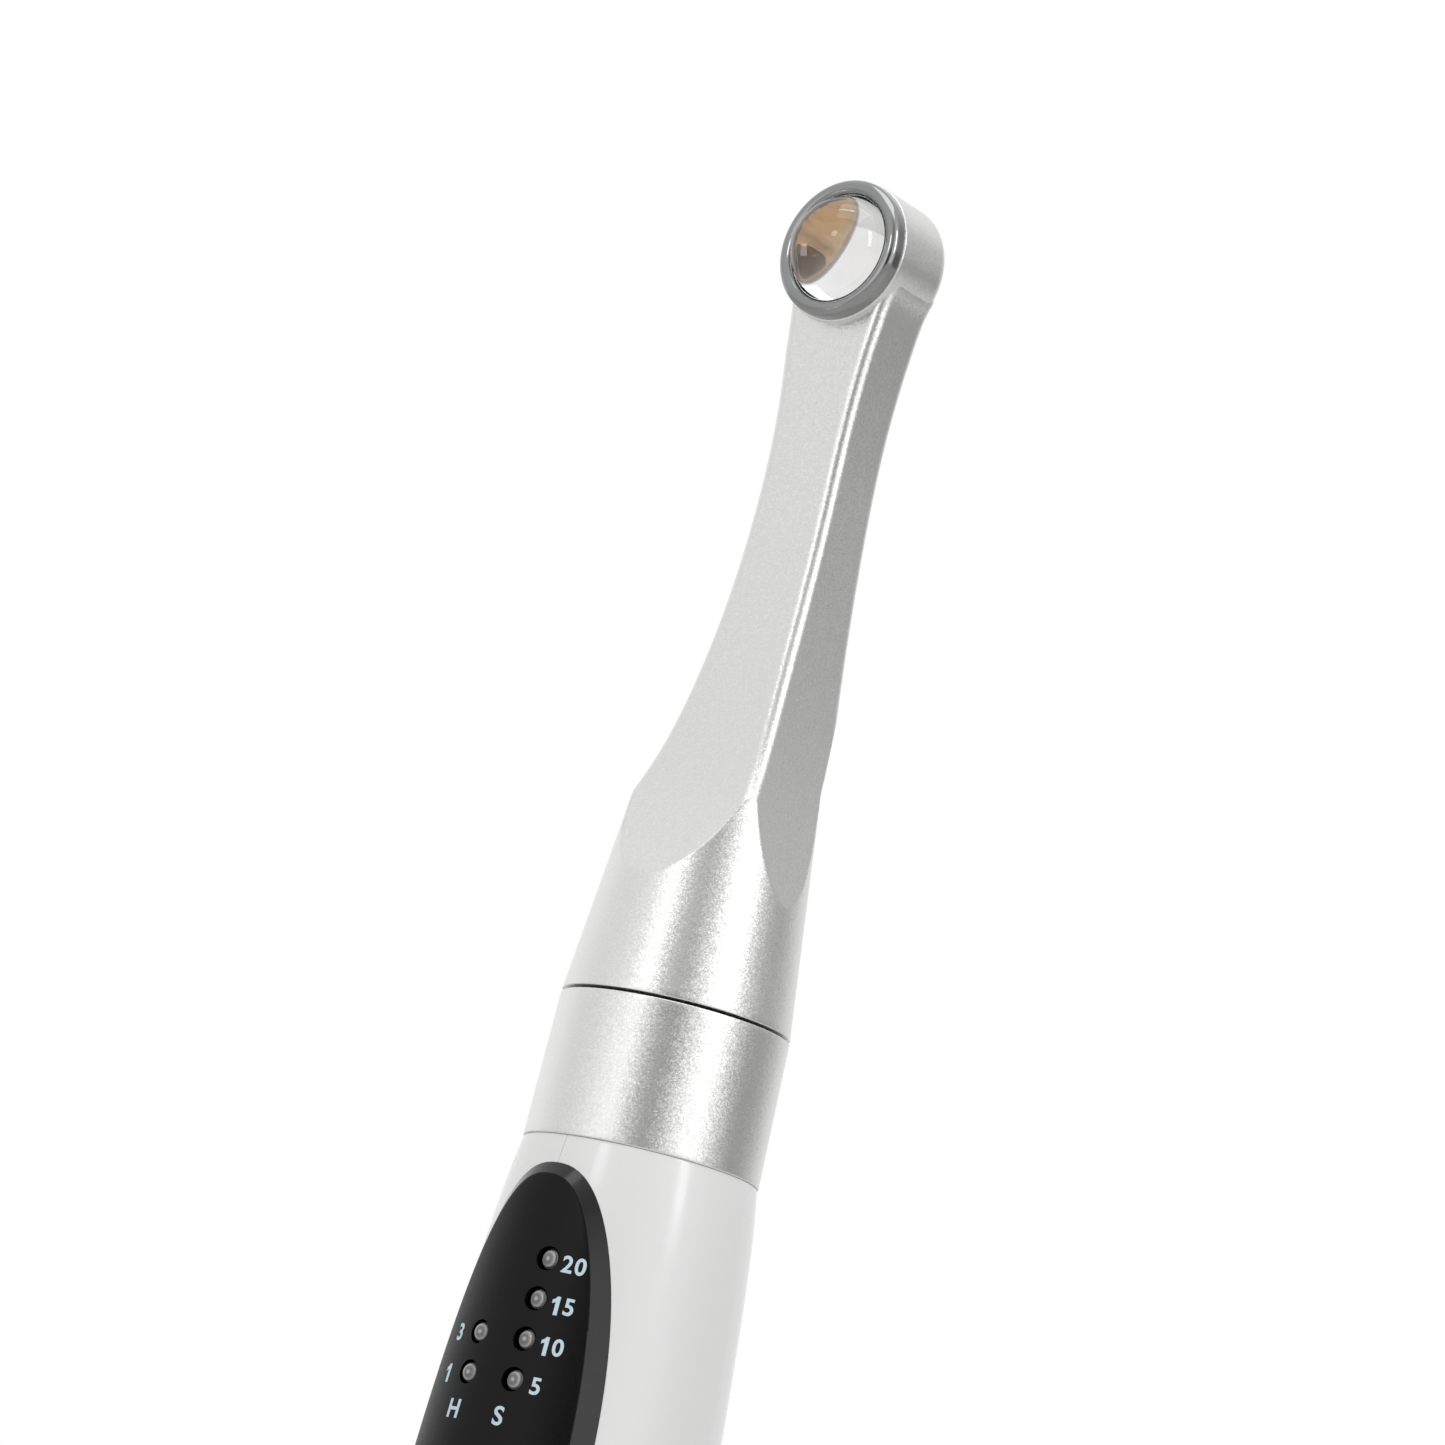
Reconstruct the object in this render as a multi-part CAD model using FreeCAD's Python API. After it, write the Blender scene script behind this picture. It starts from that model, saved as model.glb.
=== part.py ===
import FreeCAD, Part
import math
import os

V = FreeCAD.Vector

# A cordless dental curing light, millimetres. The origin is the centre of the flat tail face,
# +Z runs up the handle to the head, and the lens and the control panel face -Y.

# Overall
SEAM_Z = 181.5            # tail face to the joint where the head turns on the handle
LENS_UP = 71.6            # that joint to the lens axis
LENS_Z = SEAM_Z + LENS_UP

# Swivel between head and handle
SEAM_GAP = 0.25           # dark gap between head and collar
SLEEVE_R = 7.0
SLEEVE_BORE = SLEEVE_R - 2.5
SLEEVE_PRESS_R = SLEEVE_R + 0.5   # the length pressed into the head
SLEEVE_PRESS = 11.0
SLEEVE_DOWN = 13.0        # how far the sleeve reaches into the collar
RUN_GAP = 0.04            # radial running gap
BUSH_WALL = 1.6
BUSH_R = SLEEVE_R + BUSH_WALL
BUSH_DOWN = 10.6
BUSH_PROUD = 0.2          # the bush stands out of the collar to carry the head
ORING_R = 0.6
ORING_DOWN = 3.5
GROOVE_GAP = 0.1
CLIP_R = SLEEVE_R + 1.1
CLIP_T = 0.8
CLIP_GROOVE_R = SLEEVE_R - 0.7
PLUG_T = 4.5
PIN_R = 1.0
PIN_OUT = 1.6             # centre pin below the plug
CONTACT_SPOTS = (0.0, (SLEEVE_R + SLEEVE_BORE) / 2)   # under the pin, and under the sleeve

# Collar
COLLAR_LEN = 13.46
SKIRT_WALL = 0.7
SKIRT_R = BUSH_R + SKIRT_WALL     # the part of the collar inside the housing
HOUSING_LIP = 1.3                 # housing wall outside the skirt
HOUSING_TOP_R = SKIRT_R + HOUSING_LIP
COLLAR_BOTTOM_R = HOUSING_TOP_R + 0.06
COLLAR_TAPER = 0.26
COLLAR_TOP_R = COLLAR_BOTTOM_R - COLLAR_TAPER
SKIRT_LEN = 6.0
SOCKET_T = 3.6
CONTACT_GAP = 0.1
CONTACT_PROUD = 0.5       # contacts above the block
CONTACT_TAIL = 1.2        # and below it

# Head casting: a cone that four milled flats turn into a slim neck under a round lamp head.
# Each flat sweeps through (height above the joint, distance from the handle axis).
HEAD_R = 6.75             # round head about the lens axis
HEAD_FRONT = 1.9          # head's front face, in front of the handle axis
HEAD_BACK = 5.2           # head's back face, behind it
HEAD_BACK_ROUND = 1.4
CONE_R = COLLAR_TOP_R - 0.02   # cone where it meets the collar
CONE_TOP_R = 8.0          # the cone stops getting slimmer here
CONE_TOP_UP = 22.5
FLAT_START_UP = 10.6      # lowest point of every milled flat, above the joint
FLAT_START_R = CONE_R - (CONE_R - CONE_TOP_R) * FLAT_START_UP / CONE_TOP_UP + 0.04
NECK_SIDES = ((20.0, 6.85), (30.0, 5.31), (46.0, 4.42), (58.0, 4.59), (64.0, 5.2),
              (67.5, HEAD_R - 0.8), (70.0, HEAD_R - 0.3))
NECK_FRONTS = ((20.0, 4.98), (30.0, 2.63), (46.0, 1.12), (62.0, 1.5))
NECK_BACKS = ((20.0, 7.35), (32.0, 6.55), (46.0, 5.8), (62.0, 5.2))
NECK_ROUND = 1.1          # rounding of the neck's long edges

# Lens and lamp, stacked along the lens axis from the front face back
HEAD_WALL = 0.7           # head casting around the bezel's spigot
BEZEL_INSET = 0.15        # bezel smaller than the head, all round
BEZEL_R = HEAD_R - BEZEL_INSET
BEZEL_SPIGOT_R = HEAD_R - HEAD_WALL
BEZEL_SPIGOT_WALL = 0.4
BEZEL_SPIGOT_END = -0.6   # y of the spigot's inner end
BEZEL_WALL = 0.7          # height of the straight outer wall
BEZEL_RISE = 1.5          # bezel crest above the head's front face
BEZEL_LIP = 0.5           # the lip's inner edge below the crest
SEAT_GAP = 0.05           # radial gap of a part that drops into its seat
LENS_FLANGE_R = BEZEL_SPIGOT_R - BEZEL_SPIGOT_WALL - SEAT_GAP
FLANGE_LAP = 0.5          # how far the bezel's lip laps over the flange
LENS_OPENING_R = LENS_FLANGE_R - FLANGE_LAP
LENS_FLANGE = 0.7
DOME_GAP = 0.15           # between the dome and the lip
LENS_DOME_R = LENS_OPENING_R - DOME_GAP
LENS_DOME_RISE = 0.89 * LENS_DOME_R   # almost half a ball
LENS_BACK_Y = -1.6
GASKET = 0.25
REFLECTOR_FLOOR_Y = 0.6
REFLECTOR_MOUTH_R = LENS_FLANGE_R - 0.9
LED_BODY = 3.5
REFLECTOR_FLOOR_R = LED_BODY * math.sqrt(0.5) + 0.4
LED_BODY_T = 0.6
LED_DIE = 1.0
LED_DIE_GAP = 0.25
LED_DIE_T = 0.15
LED_BOARD_T = 1.0
SPREADER_T = 1.0
WIRE_R = 0.6
WIRE_SPREAD = 0.75        # each lead from the middle plane
WIRE_Y = 2.3
CHANNEL_R = 1.7           # lead channel drilled up the neck

# Handle housing, two moulded halves that meet on the plane X = 0
CAP_LEN = 12.0            # length of the tail cap that shows
CAP_SEAM = 0.12           # seam between cap and housing
HOUSING_BOTTOM = CAP_LEN + CAP_SEAM
HOUSING_TOP = SEAM_Z - COLLAR_LEN
BELLY_R = 13.45           # widest place
BELLY_DOWN = 55.0         # below the joint
WALL = 1.8
TONGUE_T = 0.7            # tongue along the back joint of the halves
TONGUE_DEEP = 0.8
TONGUE_GAP = 0.05

# Control panel, an oval shell that follows the housing
PANEL_TOP = SEAM_Z - 15.9
PANEL_LEN = 68.0
PANEL_HALF_W = 9.75
PANEL_POWER = 2.4         # exponent of the superellipse outline
PANEL_SUNK = 0.8
PANEL_PROUD = 0.65
PANEL_EDGE = 0.6          # how far the bevel of its rim falls
PANEL_EDGE_W = 2.0        # how far the bevel reaches in
PANEL_GAP = 0.04
WINDOW_LEDGE = 2.2        # housing left under the panel's edge

# Indicators and buttons
COLUMN_X = 2.55           # both indicator columns from the middle plane
ROW_TOP_Z = SEAM_Z - 24.6
ROW_PITCH = 3.6
RIGHT_ROWS = (0, 1, 2, 3)
LEFT_ROWS = (2, 3)
PIPE_R = 0.88
PIPE_HOLE_R = 1.08
PIPE_DOME = 0.44          # height of its domed end
PIPE_BELOW = 0.05         # pipe dome's crest below the panel's face
BUTTON_TRAVEL = 0.6
BUTTON_GAP = 0.15
BUTTON_FLANGE = 0.35      # rim that keeps the button behind the panel
BUTTON_FLANGE_T = 0.6
BUTTON_PROUD = 0.5
BUTTON_EDGE = 0.35
SELECT_R = 2.05
SELECT_Z = SEAM_Z - 44.5
POWER_R = 4.2
POWER_Z = SEAM_Z - 64.0

# Circuit board and what it carries
BOARD_FRONT_Y = -7.0
BOARD_T = 1.2
BOARD_HALF_W = 6.5
BOARD_TOP = SEAM_Z - 21.0
CELL_BOTTOM = 10.5
CELL_LEN = 65.0
CELL_TOP = CELL_BOTTOM + CELL_LEN
BOARD_BOTTOM = CELL_TOP + 7.5
SWITCH = 4.4
SWITCH_T = 1.5
PLUNGER_R = 1.1
PLUNGER_T = 0.6
CHIP_Z = BOARD_BOTTOM + 15.0
CHIP = 6.0
CHIP_T = 0.9
INDUCTOR_Z = BOARD_BOTTOM + 24.0
INDUCTOR = 6.0
INDUCTOR_T = 3.0
BUZZER_Z = POWER_Z + 10.0
BUZZER_R = 3.6
BUZZER_T = 2.2
LAMP = 1.6
LAMP_T = 0.5
SCREW_R = 0.9
SCREW_HEAD_R = 1.7
SCREW_HEAD_T = 1.1
SCREW_DEEP = 1.6          # thread below the board
SCREW_RECESS_R = 0.63
SCREW_SPOTS = ((4.6, BOARD_TOP - 18.5), (-4.6, BOARD_BOTTOM + 5.5))
FRAME_T = 2.2
BULKHEAD_T = 3.0
LEAD_R = 0.5

# Battery and tail
CELL_R = 7.0
CELL_STEP = 0.8           # height of the raised contact
CELL_TIP_R = 3.15
SLEEVE_GAP = 0.15
CELL_SLEEVE_T = 0.8
CONTACT_T = 0.8
CONTACT_R = 4.2
STRIP_T = 0.3
STRIP_W = 3.0
STRIP_CLEAR = 0.75        # between the strip and the battery sleeve
CAP_EDGE = 1.4
CAP_FLOOR = 2.5
CAP_BORE_R = CELL_R + 0.4
CAP_SPIGOT_WALL = 1.45
CAP_SPIGOT_R = CAP_BORE_R + CAP_SPIGOT_WALL
CAP_SPIGOT = 7.0
TAIL_RING_WALL = 1.1
TAIL_RING_R = CAP_SPIGOT_R + SEAT_GAP + TAIL_RING_WALL
CAP_R = TAIL_RING_R + 1.0
HOUSING_BOTTOM_R = CAP_R + 0.15
TAIL_RING_LEN = 10.0
SEAL_R = 0.5
PLATE_T = 0.5
SPRING_R = 4.6
SPRING_WIRE = 0.45
SPRING_TURNS = 3.5
CHARGE_PIN_R = 1.5
CHARGE_RING_R = 3.2


# Shapes

def rod(r, z0, z1, x=0.0, y=0.0):
    """Cylinder along Z between two heights."""
    return Part.makeCylinder(r, z1 - z0, V(x, y, z0))


def rod_y(r, y0, y1, x, z):
    """Cylinder along Y between two depths."""
    return Part.makeCylinder(r, y1 - y0, V(x, y0, z), V(0, 1, 0))


def tube(r_out, r_in, z0, z1):
    return rod(r_out, z0, z1).cut(rod(r_in, z0, z1))


def tube_y(r_out, r_in, y0, y1, x, z):
    return rod_y(r_out, y0, y1, x, z).cut(rod_y(r_in, y0, y1, x, z))


def block(x0, x1, y0, y1, z0, z1):
    return Part.makeBox(x1 - x0, y1 - y0, z1 - z0, V(x0, y0, z0))


def ring_of(r_wire, r, z):
    """A round-section ring about the Z axis."""
    return Part.makeTorus(r, r_wire, V(0, 0, z))


def line(a, b):
    return Part.makeLine(a, b)


def arc(a, mid, b):
    return Part.Arc(a, mid, b).toShape()


def face_of(edges):
    return Part.Face(Part.Wire(Part.__sortEdges__(edges)))


def turned(points):
    """Solid turned about Z from a closed outline of (radius, height) corners."""
    corners = [V(r, 0, z) for r, z in points]
    return Part.Face(Part.makePolygon(corners + corners[:1])).revolve(V(), V(0, 0, 1), 360)


def about_lens(edges):
    """Solid turned about the lens axis from edges drawn as (radius, depth) in the XY plane."""
    shape = face_of(edges).revolve(V(), V(0, 1, 0), 360)
    shape.translate(V(0, 0, LENS_Z))
    return shape


# Head casting

def sweep(places, sign, across):
    """Smooth edge of one flat, from where it leaves the cone up through its places."""
    points = [(FLAT_START_UP, FLAT_START_R)] + list(places)
    curve = Part.BSplineCurve()
    curve.interpolate([across * sign * far + V(0, 0, SEAM_Z + up) for up, far in points])
    return curve


def flats_between(places_minus, places_plus, across):
    """Slab between two opposite flats: their side outline, carried through the neck."""
    along = V(0, 0, 1).cross(across)
    minus, plus = sweep(places_minus, -1, across), sweep(places_plus, 1, across)
    wide = across * (FLAT_START_R + 3.0)
    low = V(0, 0, SEAM_Z + FLAT_START_UP)
    feet = V(0, 0, -3.0)
    tops = [V(end.x, end.y, LENS_Z) for end in (minus.EndPoint, plus.EndPoint)]
    outline = face_of([
        minus.toShape(), plus.toShape(),
        line(minus.EndPoint, tops[0]), line(tops[0], tops[1]), line(tops[1], plus.EndPoint),
        line(plus.StartPoint, low + wide + feet), line(low + wide + feet, low - wide + feet),
        line(low - wide + feet, minus.StartPoint)])
    outline.translate(along * -15)
    return outline.extrude(along * 30)


def long_edges(shape):
    """The neck's corner edges, which climb with neither X nor Y equal to zero."""
    found = []
    for edge in shape.Edges:
        box = edge.BoundBox
        if box.ZLength > 2.0 and min(abs(box.Center.x), abs(box.Center.y)) > 0.3:
            found.append(edge)
    return found


def head_shell():
    cone = turned([(0, SEAM_Z), (CONE_R, SEAM_Z), (CONE_TOP_R, SEAM_Z + CONE_TOP_UP),
                   (CONE_TOP_R, LENS_Z), (0, LENS_Z)])
    flats = flats_between(NECK_SIDES, NECK_SIDES, V(1, 0, 0))
    flats = flats.common(flats_between(NECK_FRONTS, NECK_BACKS, V(0, 1, 0)))
    flats = flats.makeFillet(NECK_ROUND, long_edges(flats))
    low = block(-15, 15, -15, 15, SEAM_Z, SEAM_Z + FLAT_START_UP - 3.0)
    neck = cone.common(flats.fuse(low))
    lamp = rod_y(HEAD_R, -HEAD_FRONT, HEAD_BACK, 0, LENS_Z)
    rim = [e for e in lamp.Edges if e.BoundBox.YMin > HEAD_BACK - 0.01]
    lamp = lamp.makeFillet(HEAD_BACK_ROUND, rim)
    shell = neck.fuse(lamp).removeSplitter()
    spreader_back = REFLECTOR_FLOOR_Y + LED_BOARD_T + SPREADER_T
    for cavity in (
        rod_y(BEZEL_SPIGOT_R + SEAT_GAP, -HEAD_FRONT - 1, BEZEL_SPIGOT_END, 0, LENS_Z),
        rod_y(LENS_FLANGE_R + SEAT_GAP, -HEAD_FRONT, spreader_back, 0, LENS_Z),
        rod(CHANNEL_R, SEAM_Z, LENS_Z - LENS_FLANGE_R + 1.0, 0, WIRE_Y),
        rod(SLEEVE_PRESS_R, SEAM_Z - 1, SEAM_Z + SLEEVE_PRESS),
    ):
        shell = shell.cut(cavity)
    return shell


# Lens, lamp and what holds them

def lens_bezel():
    """Polished ring with a rounded crest, a straight outer wall and a spigot into the head."""
    front = -HEAD_FRONT
    crest = front - BEZEL_RISE
    shoulder = front - BEZEL_WALL
    crest_r = (BEZEL_R + LENS_OPENING_R) / 2
    seat = LENS_BACK_Y - LENS_FLANGE - GASKET
    seat_r = LENS_FLANGE_R + SEAT_GAP
    half = (BEZEL_R - crest_r) * math.sqrt(0.5)
    rise = (shoulder - crest) * math.sqrt(0.5)
    inner_low = crest + BEZEL_LIP
    return about_lens([
        line(V(BEZEL_R, front), V(BEZEL_R, shoulder)),
        arc(V(BEZEL_R, shoulder), V(crest_r + half, shoulder - rise), V(crest_r, crest)),
        arc(V(crest_r, crest), V(crest_r - half, crest + BEZEL_LIP * 0.3), V(LENS_OPENING_R, inner_low)),
        line(V(LENS_OPENING_R, inner_low), V(LENS_OPENING_R, seat)),
        line(V(LENS_OPENING_R, seat), V(seat_r, seat)),
        line(V(seat_r, seat), V(seat_r, BEZEL_SPIGOT_END)),
        line(V(seat_r, BEZEL_SPIGOT_END), V(BEZEL_SPIGOT_R, BEZEL_SPIGOT_END)),
        line(V(BEZEL_SPIGOT_R, BEZEL_SPIGOT_END), V(BEZEL_SPIGOT_R, front)),
        line(V(BEZEL_SPIGOT_R, front), V(BEZEL_R, front)),
    ])


def lens():
    """Plano-convex lens: a flange that the bezel clamps and a high clear dome."""
    front = LENS_BACK_Y - LENS_FLANGE
    crest = front - LENS_DOME_RISE
    radius = (LENS_DOME_R ** 2 + LENS_DOME_RISE ** 2) / (2 * LENS_DOME_RISE)
    half_turn = math.asin(LENS_DOME_R / radius) / 2
    middle = V(radius * math.sin(half_turn), crest + radius * (1 - math.cos(half_turn)))
    return about_lens([
        line(V(0, LENS_BACK_Y), V(LENS_FLANGE_R, LENS_BACK_Y)),
        line(V(LENS_FLANGE_R, LENS_BACK_Y), V(LENS_FLANGE_R, front)),
        line(V(LENS_FLANGE_R, front), V(LENS_DOME_R, front)),
        arc(V(LENS_DOME_R, front), middle, V(0, crest)),
        line(V(0, crest), V(0, LENS_BACK_Y)),
    ])


def lens_seal():
    front = LENS_BACK_Y - LENS_FLANGE
    return tube_y(LENS_FLANGE_R, LENS_OPENING_R - 0.1, front - GASKET, front, 0, LENS_Z)


def reflector_cup():
    """Ring with a conical mirror bore that spreads from the LED to the lens."""
    bowl = Part.makeCone(REFLECTOR_MOUTH_R, REFLECTOR_FLOOR_R, REFLECTOR_FLOOR_Y - LENS_BACK_Y,
                         V(0, LENS_BACK_Y, LENS_Z), V(0, 1, 0))
    return rod_y(LENS_FLANGE_R, LENS_BACK_Y, REFLECTOR_FLOOR_Y, 0, LENS_Z).cut(bowl)


def led_package():
    half = LED_BODY / 2
    return block(-half, half, REFLECTOR_FLOOR_Y - LED_BODY_T, REFLECTOR_FLOOR_Y,
                 LENS_Z - half, LENS_Z + half)


def led_dies():
    """Four light-emitting chips in a square on the LED's body."""
    front = REFLECTOR_FLOOR_Y - LED_BODY_T
    off = (LED_DIE + LED_DIE_GAP) / 2
    half = LED_DIE / 2
    return Part.makeCompound([
        block(x - half, x + half, front - LED_DIE_T, front, z - half, z + half)
        for x in (-off, off) for z in (LENS_Z - off, LENS_Z + off)])


def led_board():
    return rod_y(LENS_FLANGE_R, REFLECTOR_FLOOR_Y, REFLECTOR_FLOOR_Y + LED_BOARD_T, 0, LENS_Z)


def heat_spreader():
    """Copper disc behind the LED board, notched below for the two leads."""
    front = REFLECTOR_FLOOR_Y + LED_BOARD_T
    disc = rod_y(LENS_FLANGE_R, front, front + SPREADER_T, 0, LENS_Z)
    half = WIRE_SPREAD + WIRE_R + SEAT_GAP
    return disc.cut(block(-half, half, front, front + SPREADER_T,
                          LENS_Z - LENS_FLANGE_R - 1, LENS_Z - LENS_FLANGE_R + 1.3))


def led_wires():
    bottom = SEAM_Z - SLEEVE_DOWN + PLUG_T
    top = LENS_Z - LENS_FLANGE_R + 0.9
    return Part.makeCompound([rod(WIRE_R, bottom, top, x, WIRE_Y)
                              for x in (-WIRE_SPREAD, WIRE_SPREAD)])


# Swivel

def pivot_sleeve():
    """Hollow spindle pressed into the head, grooved for the friction ring and the clip."""
    bottom = SEAM_Z - SLEEVE_DOWN
    sleeve = rod(SLEEVE_R, bottom, SEAM_Z)
    sleeve = sleeve.fuse(rod(SLEEVE_PRESS_R, SEAM_Z, SEAM_Z + SLEEVE_PRESS))
    sleeve = sleeve.cut(rod(SLEEVE_BORE, bottom, SEAM_Z + SLEEVE_PRESS))
    z = SEAM_Z - ORING_DOWN
    groove_half = ORING_R + GROOVE_GAP
    sleeve = sleeve.cut(tube(SLEEVE_R, oring_line_r() - ORING_R, z - groove_half, z + groove_half))
    top = clip_top() + GROOVE_GAP / 2
    return sleeve.cut(tube(SLEEVE_R, CLIP_GROOVE_R, top - CLIP_T - GROOVE_GAP, top))


def oring_line_r():
    """Middle of the friction ring, which just fills the bush's bore."""
    return SLEEVE_R + RUN_GAP - 0.01 - ORING_R


def pivot_oring():
    return ring_of(ORING_R, oring_line_r(), SEAM_Z - ORING_DOWN)


def clip_top():
    return SEAM_Z - BUSH_DOWN - 0.1


def pivot_clip():
    """Open spring clip in the sleeve's groove; it keeps the head from pulling off."""
    clip = tube(CLIP_R, CLIP_GROOVE_R, clip_top() - CLIP_T, clip_top())
    mouth = block(-2.2, 2.2, 0, CLIP_R, clip_top() - CLIP_T, clip_top())
    return clip.cut(mouth)


def plug_insulator():
    bottom = SEAM_Z - SLEEVE_DOWN
    return tube(SLEEVE_BORE, PIN_R, bottom, bottom + PLUG_T)


def plug_pin():
    bottom = SEAM_Z - SLEEVE_DOWN
    return rod(PIN_R, bottom - PIN_OUT, bottom + PLUG_T)


def bearing_bush():
    """Plain bearing in the collar; its top face carries the head."""
    return tube(BUSH_R, SLEEVE_R + RUN_GAP, SEAM_Z - BUSH_DOWN, SEAM_Z - SEAM_GAP + BUSH_PROUD)


def collar():
    top = SEAM_Z - SEAM_GAP
    bottom = HOUSING_TOP
    solid = turned([(0, bottom - SKIRT_LEN), (SKIRT_R, bottom - SKIRT_LEN), (SKIRT_R, bottom),
                    (COLLAR_BOTTOM_R, bottom), (COLLAR_TOP_R, top), (0, top)])
    return solid.cut(rod(BUSH_R, bottom - SKIRT_LEN, top))


def socket_top():
    return SEAM_Z - SLEEVE_DOWN - PIN_OUT - CONTACT_GAP


def contact_foot():
    return socket_top() - CONTACT_PROUD - SOCKET_T - CONTACT_TAIL


def socket_block():
    """Insulating disc in the collar's skirt that holds the two sprung contacts."""
    top = socket_top() - CONTACT_PROUD
    disc = rod(BUSH_R, top - SOCKET_T, top)
    for x in CONTACT_SPOTS:
        disc = disc.cut(rod(PIN_R, top - SOCKET_T, top, x, 0))
    return disc


def socket_contacts():
    """Centre contact for the pin, and a longer one for the sleeve's end face."""
    tops = (socket_top(), SEAM_Z - SLEEVE_DOWN - CONTACT_GAP)
    return Part.makeCompound([rod(PIN_R, contact_foot(), top, x, 0)
                              for x, top in zip(CONTACT_SPOTS, tops)])


# Housing

def housing_curve(offset):
    """The housing's outline, from the cap to the collar, moved out by offset."""
    points = [
        (HOUSING_BOTTOM_R, HOUSING_BOTTOM),
        (HOUSING_BOTTOM_R + 1.0, HOUSING_BOTTOM + 46.0),
        (BELLY_R - 0.3, SEAM_Z - BELLY_DOWN - 26.0),
        (BELLY_R, SEAM_Z - BELLY_DOWN),
        (BELLY_R - 0.83, SEAM_Z - 35.5),
        (BELLY_R - 1.78, SEAM_Z - 22.2),
        (HOUSING_TOP_R, HOUSING_TOP),
    ]
    curve = Part.BSplineCurve()
    curve.interpolate([V(r + offset, 0, z) for r, z in points])
    return curve


def housing_r(z):
    """Outer radius of the housing at one height, found by halving the curve."""
    curve = housing_curve(0.0)
    low, high = curve.FirstParameter, curve.LastParameter
    for _ in range(40):
        middle = (low + high) / 2
        if curve.value(middle).z < z:
            low = middle
        else:
            high = middle
    return curve.value(low).x


def skin(offset):
    """Solid of the housing's outer shape, grown or shrunk by offset."""
    curve = housing_curve(offset)
    bottom, top = curve.StartPoint, curve.EndPoint
    axis_low, axis_high = V(0, 0, bottom.z), V(0, 0, top.z)
    return face_of([curve.toShape(), line(top, axis_high), line(axis_high, axis_low),
                    line(axis_low, bottom)]).revolve(V(), V(0, 0, 1), 360)


def panel_prism(grow):
    """The panel's superellipse outline, grown by a margin and carried through the front."""
    half_w = PANEL_HALF_W + grow
    half_l = PANEL_LEN / 2 + grow
    centre = PANEL_TOP - PANEL_LEN / 2
    points = []
    for i in range(32):
        angle = 2 * math.pi * i / 32
        c, s = math.cos(angle), math.sin(angle)
        points.append(V(half_w * math.copysign(abs(c) ** (2 / PANEL_POWER), c), -20,
                        centre + half_l * math.copysign(abs(s) ** (2 / PANEL_POWER), s)))
    curve = Part.BSplineCurve()
    curve.interpolate(points, PeriodicFlag=True)
    return Part.Face(Part.Wire(curve.toShape())).extrude(V(0, 20, 0))


def front_y(x, z, offset):
    """Depth of the housing's front surface at one place, moved out by offset."""
    return -math.sqrt((housing_r(z) + offset) ** 2 - x ** 2)


def pipe_spots():
    return ([(COLUMN_X, ROW_TOP_Z - ROW_PITCH * row) for row in RIGHT_ROWS]
            + [(-COLUMN_X, ROW_TOP_Z - ROW_PITCH * row) for row in LEFT_ROWS])


def button_spots():
    return {"power_button": (0.0, POWER_Z, POWER_R),
            "mode_button": (-COLUMN_X, SELECT_Z, SELECT_R),
            "time_button": (COLUMN_X, SELECT_Z, SELECT_R)}


def control_panel():
    """Oval shell set in the housing, bored for the light pipes and the buttons."""
    plate = skin(PANEL_PROUD).common(panel_prism(0.0))
    rim = [e for e in plate.Edges if e.BoundBox.ZLength > PANEL_LEN / 3
           and e.BoundBox.YMin < front_y(0, PANEL_TOP - 5, PANEL_PROUD / 2)]
    plate = plate.makeChamfer(PANEL_EDGE, PANEL_EDGE_W, rim)
    plate = plate.cut(skin(-PANEL_SUNK))
    for x, z in pipe_spots():
        plate = plate.cut(rod_y(PIPE_HOLE_R, -20, 0, x, z))
    for x, z, r in button_spots().values():
        plate = plate.cut(rod_y(r + BUTTON_GAP, -20, 0, x, z))
    return plate


def tongue(clear):
    """Tongue along the back joint, on the left half; with clear it cuts the groove."""
    outer = -(WALL - TONGUE_T) / 2 + clear
    strip = skin(outer).cut(skin(outer - TONGUE_T - 2 * clear))
    return strip.common(block(-1.0, TONGUE_DEEP + clear, 0, 20,
                              HOUSING_BOTTOM + TAIL_RING_LEN + 4, HOUSING_TOP - SKIRT_LEN - 4))


def housing():
    """Both halves in one piece, before the split."""
    ring_top = HOUSING_BOTTOM + TAIL_RING_LEN
    skirt_bottom = HOUSING_TOP - SKIRT_LEN
    hollow = skin(-WALL).common(rod(BELLY_R, ring_top, skirt_bottom - 1.0))
    shell = skin(0.0).cut(hollow)
    shell = shell.cut(rod(TAIL_RING_R, HOUSING_BOTTOM, ring_top))
    shell = shell.cut(rod(SKIRT_R, skirt_bottom - 1.0, HOUSING_TOP))
    pocket = panel_prism(PANEL_GAP).cut(skin(-PANEL_SUNK))
    return shell.cut(pocket).cut(panel_prism(-WINDOW_LEDGE))


def housing_left():
    left = housing().common(block(-20, 0, -20, 20, 0, SEAM_Z))
    return left.fuse(tongue(0.0))


def housing_right():
    right = housing().common(block(0, 20, -20, 20, 0, SEAM_Z))
    return right.cut(tongue(TONGUE_GAP))


# Controls

def light_pipes():
    """Clear rods with domed ends that carry each lamp's light to the panel's face."""
    pipes = []
    foot = BOARD_FRONT_Y - LAMP_T - 0.1
    for x, z in pipe_spots():
        crest = front_y(x, z, PANEL_PROUD) + PIPE_BELOW
        stem = rod_y(PIPE_R, crest + PIPE_DOME, foot, x, z)
        dome = Part.makeSphere(PIPE_R, V(x, crest + PIPE_DOME, z))
        squash = FreeCAD.Matrix()
        squash.move(V(0, -(crest + PIPE_DOME), 0))
        squash.scale(1.0, PIPE_DOME / PIPE_R, 1.0)
        squash.move(V(0, crest + PIPE_DOME, 0))
        pipes.append(stem.fuse(dome.transformGeometry(squash)).removeSplitter())
    return Part.makeCompound(pipes)


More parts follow.
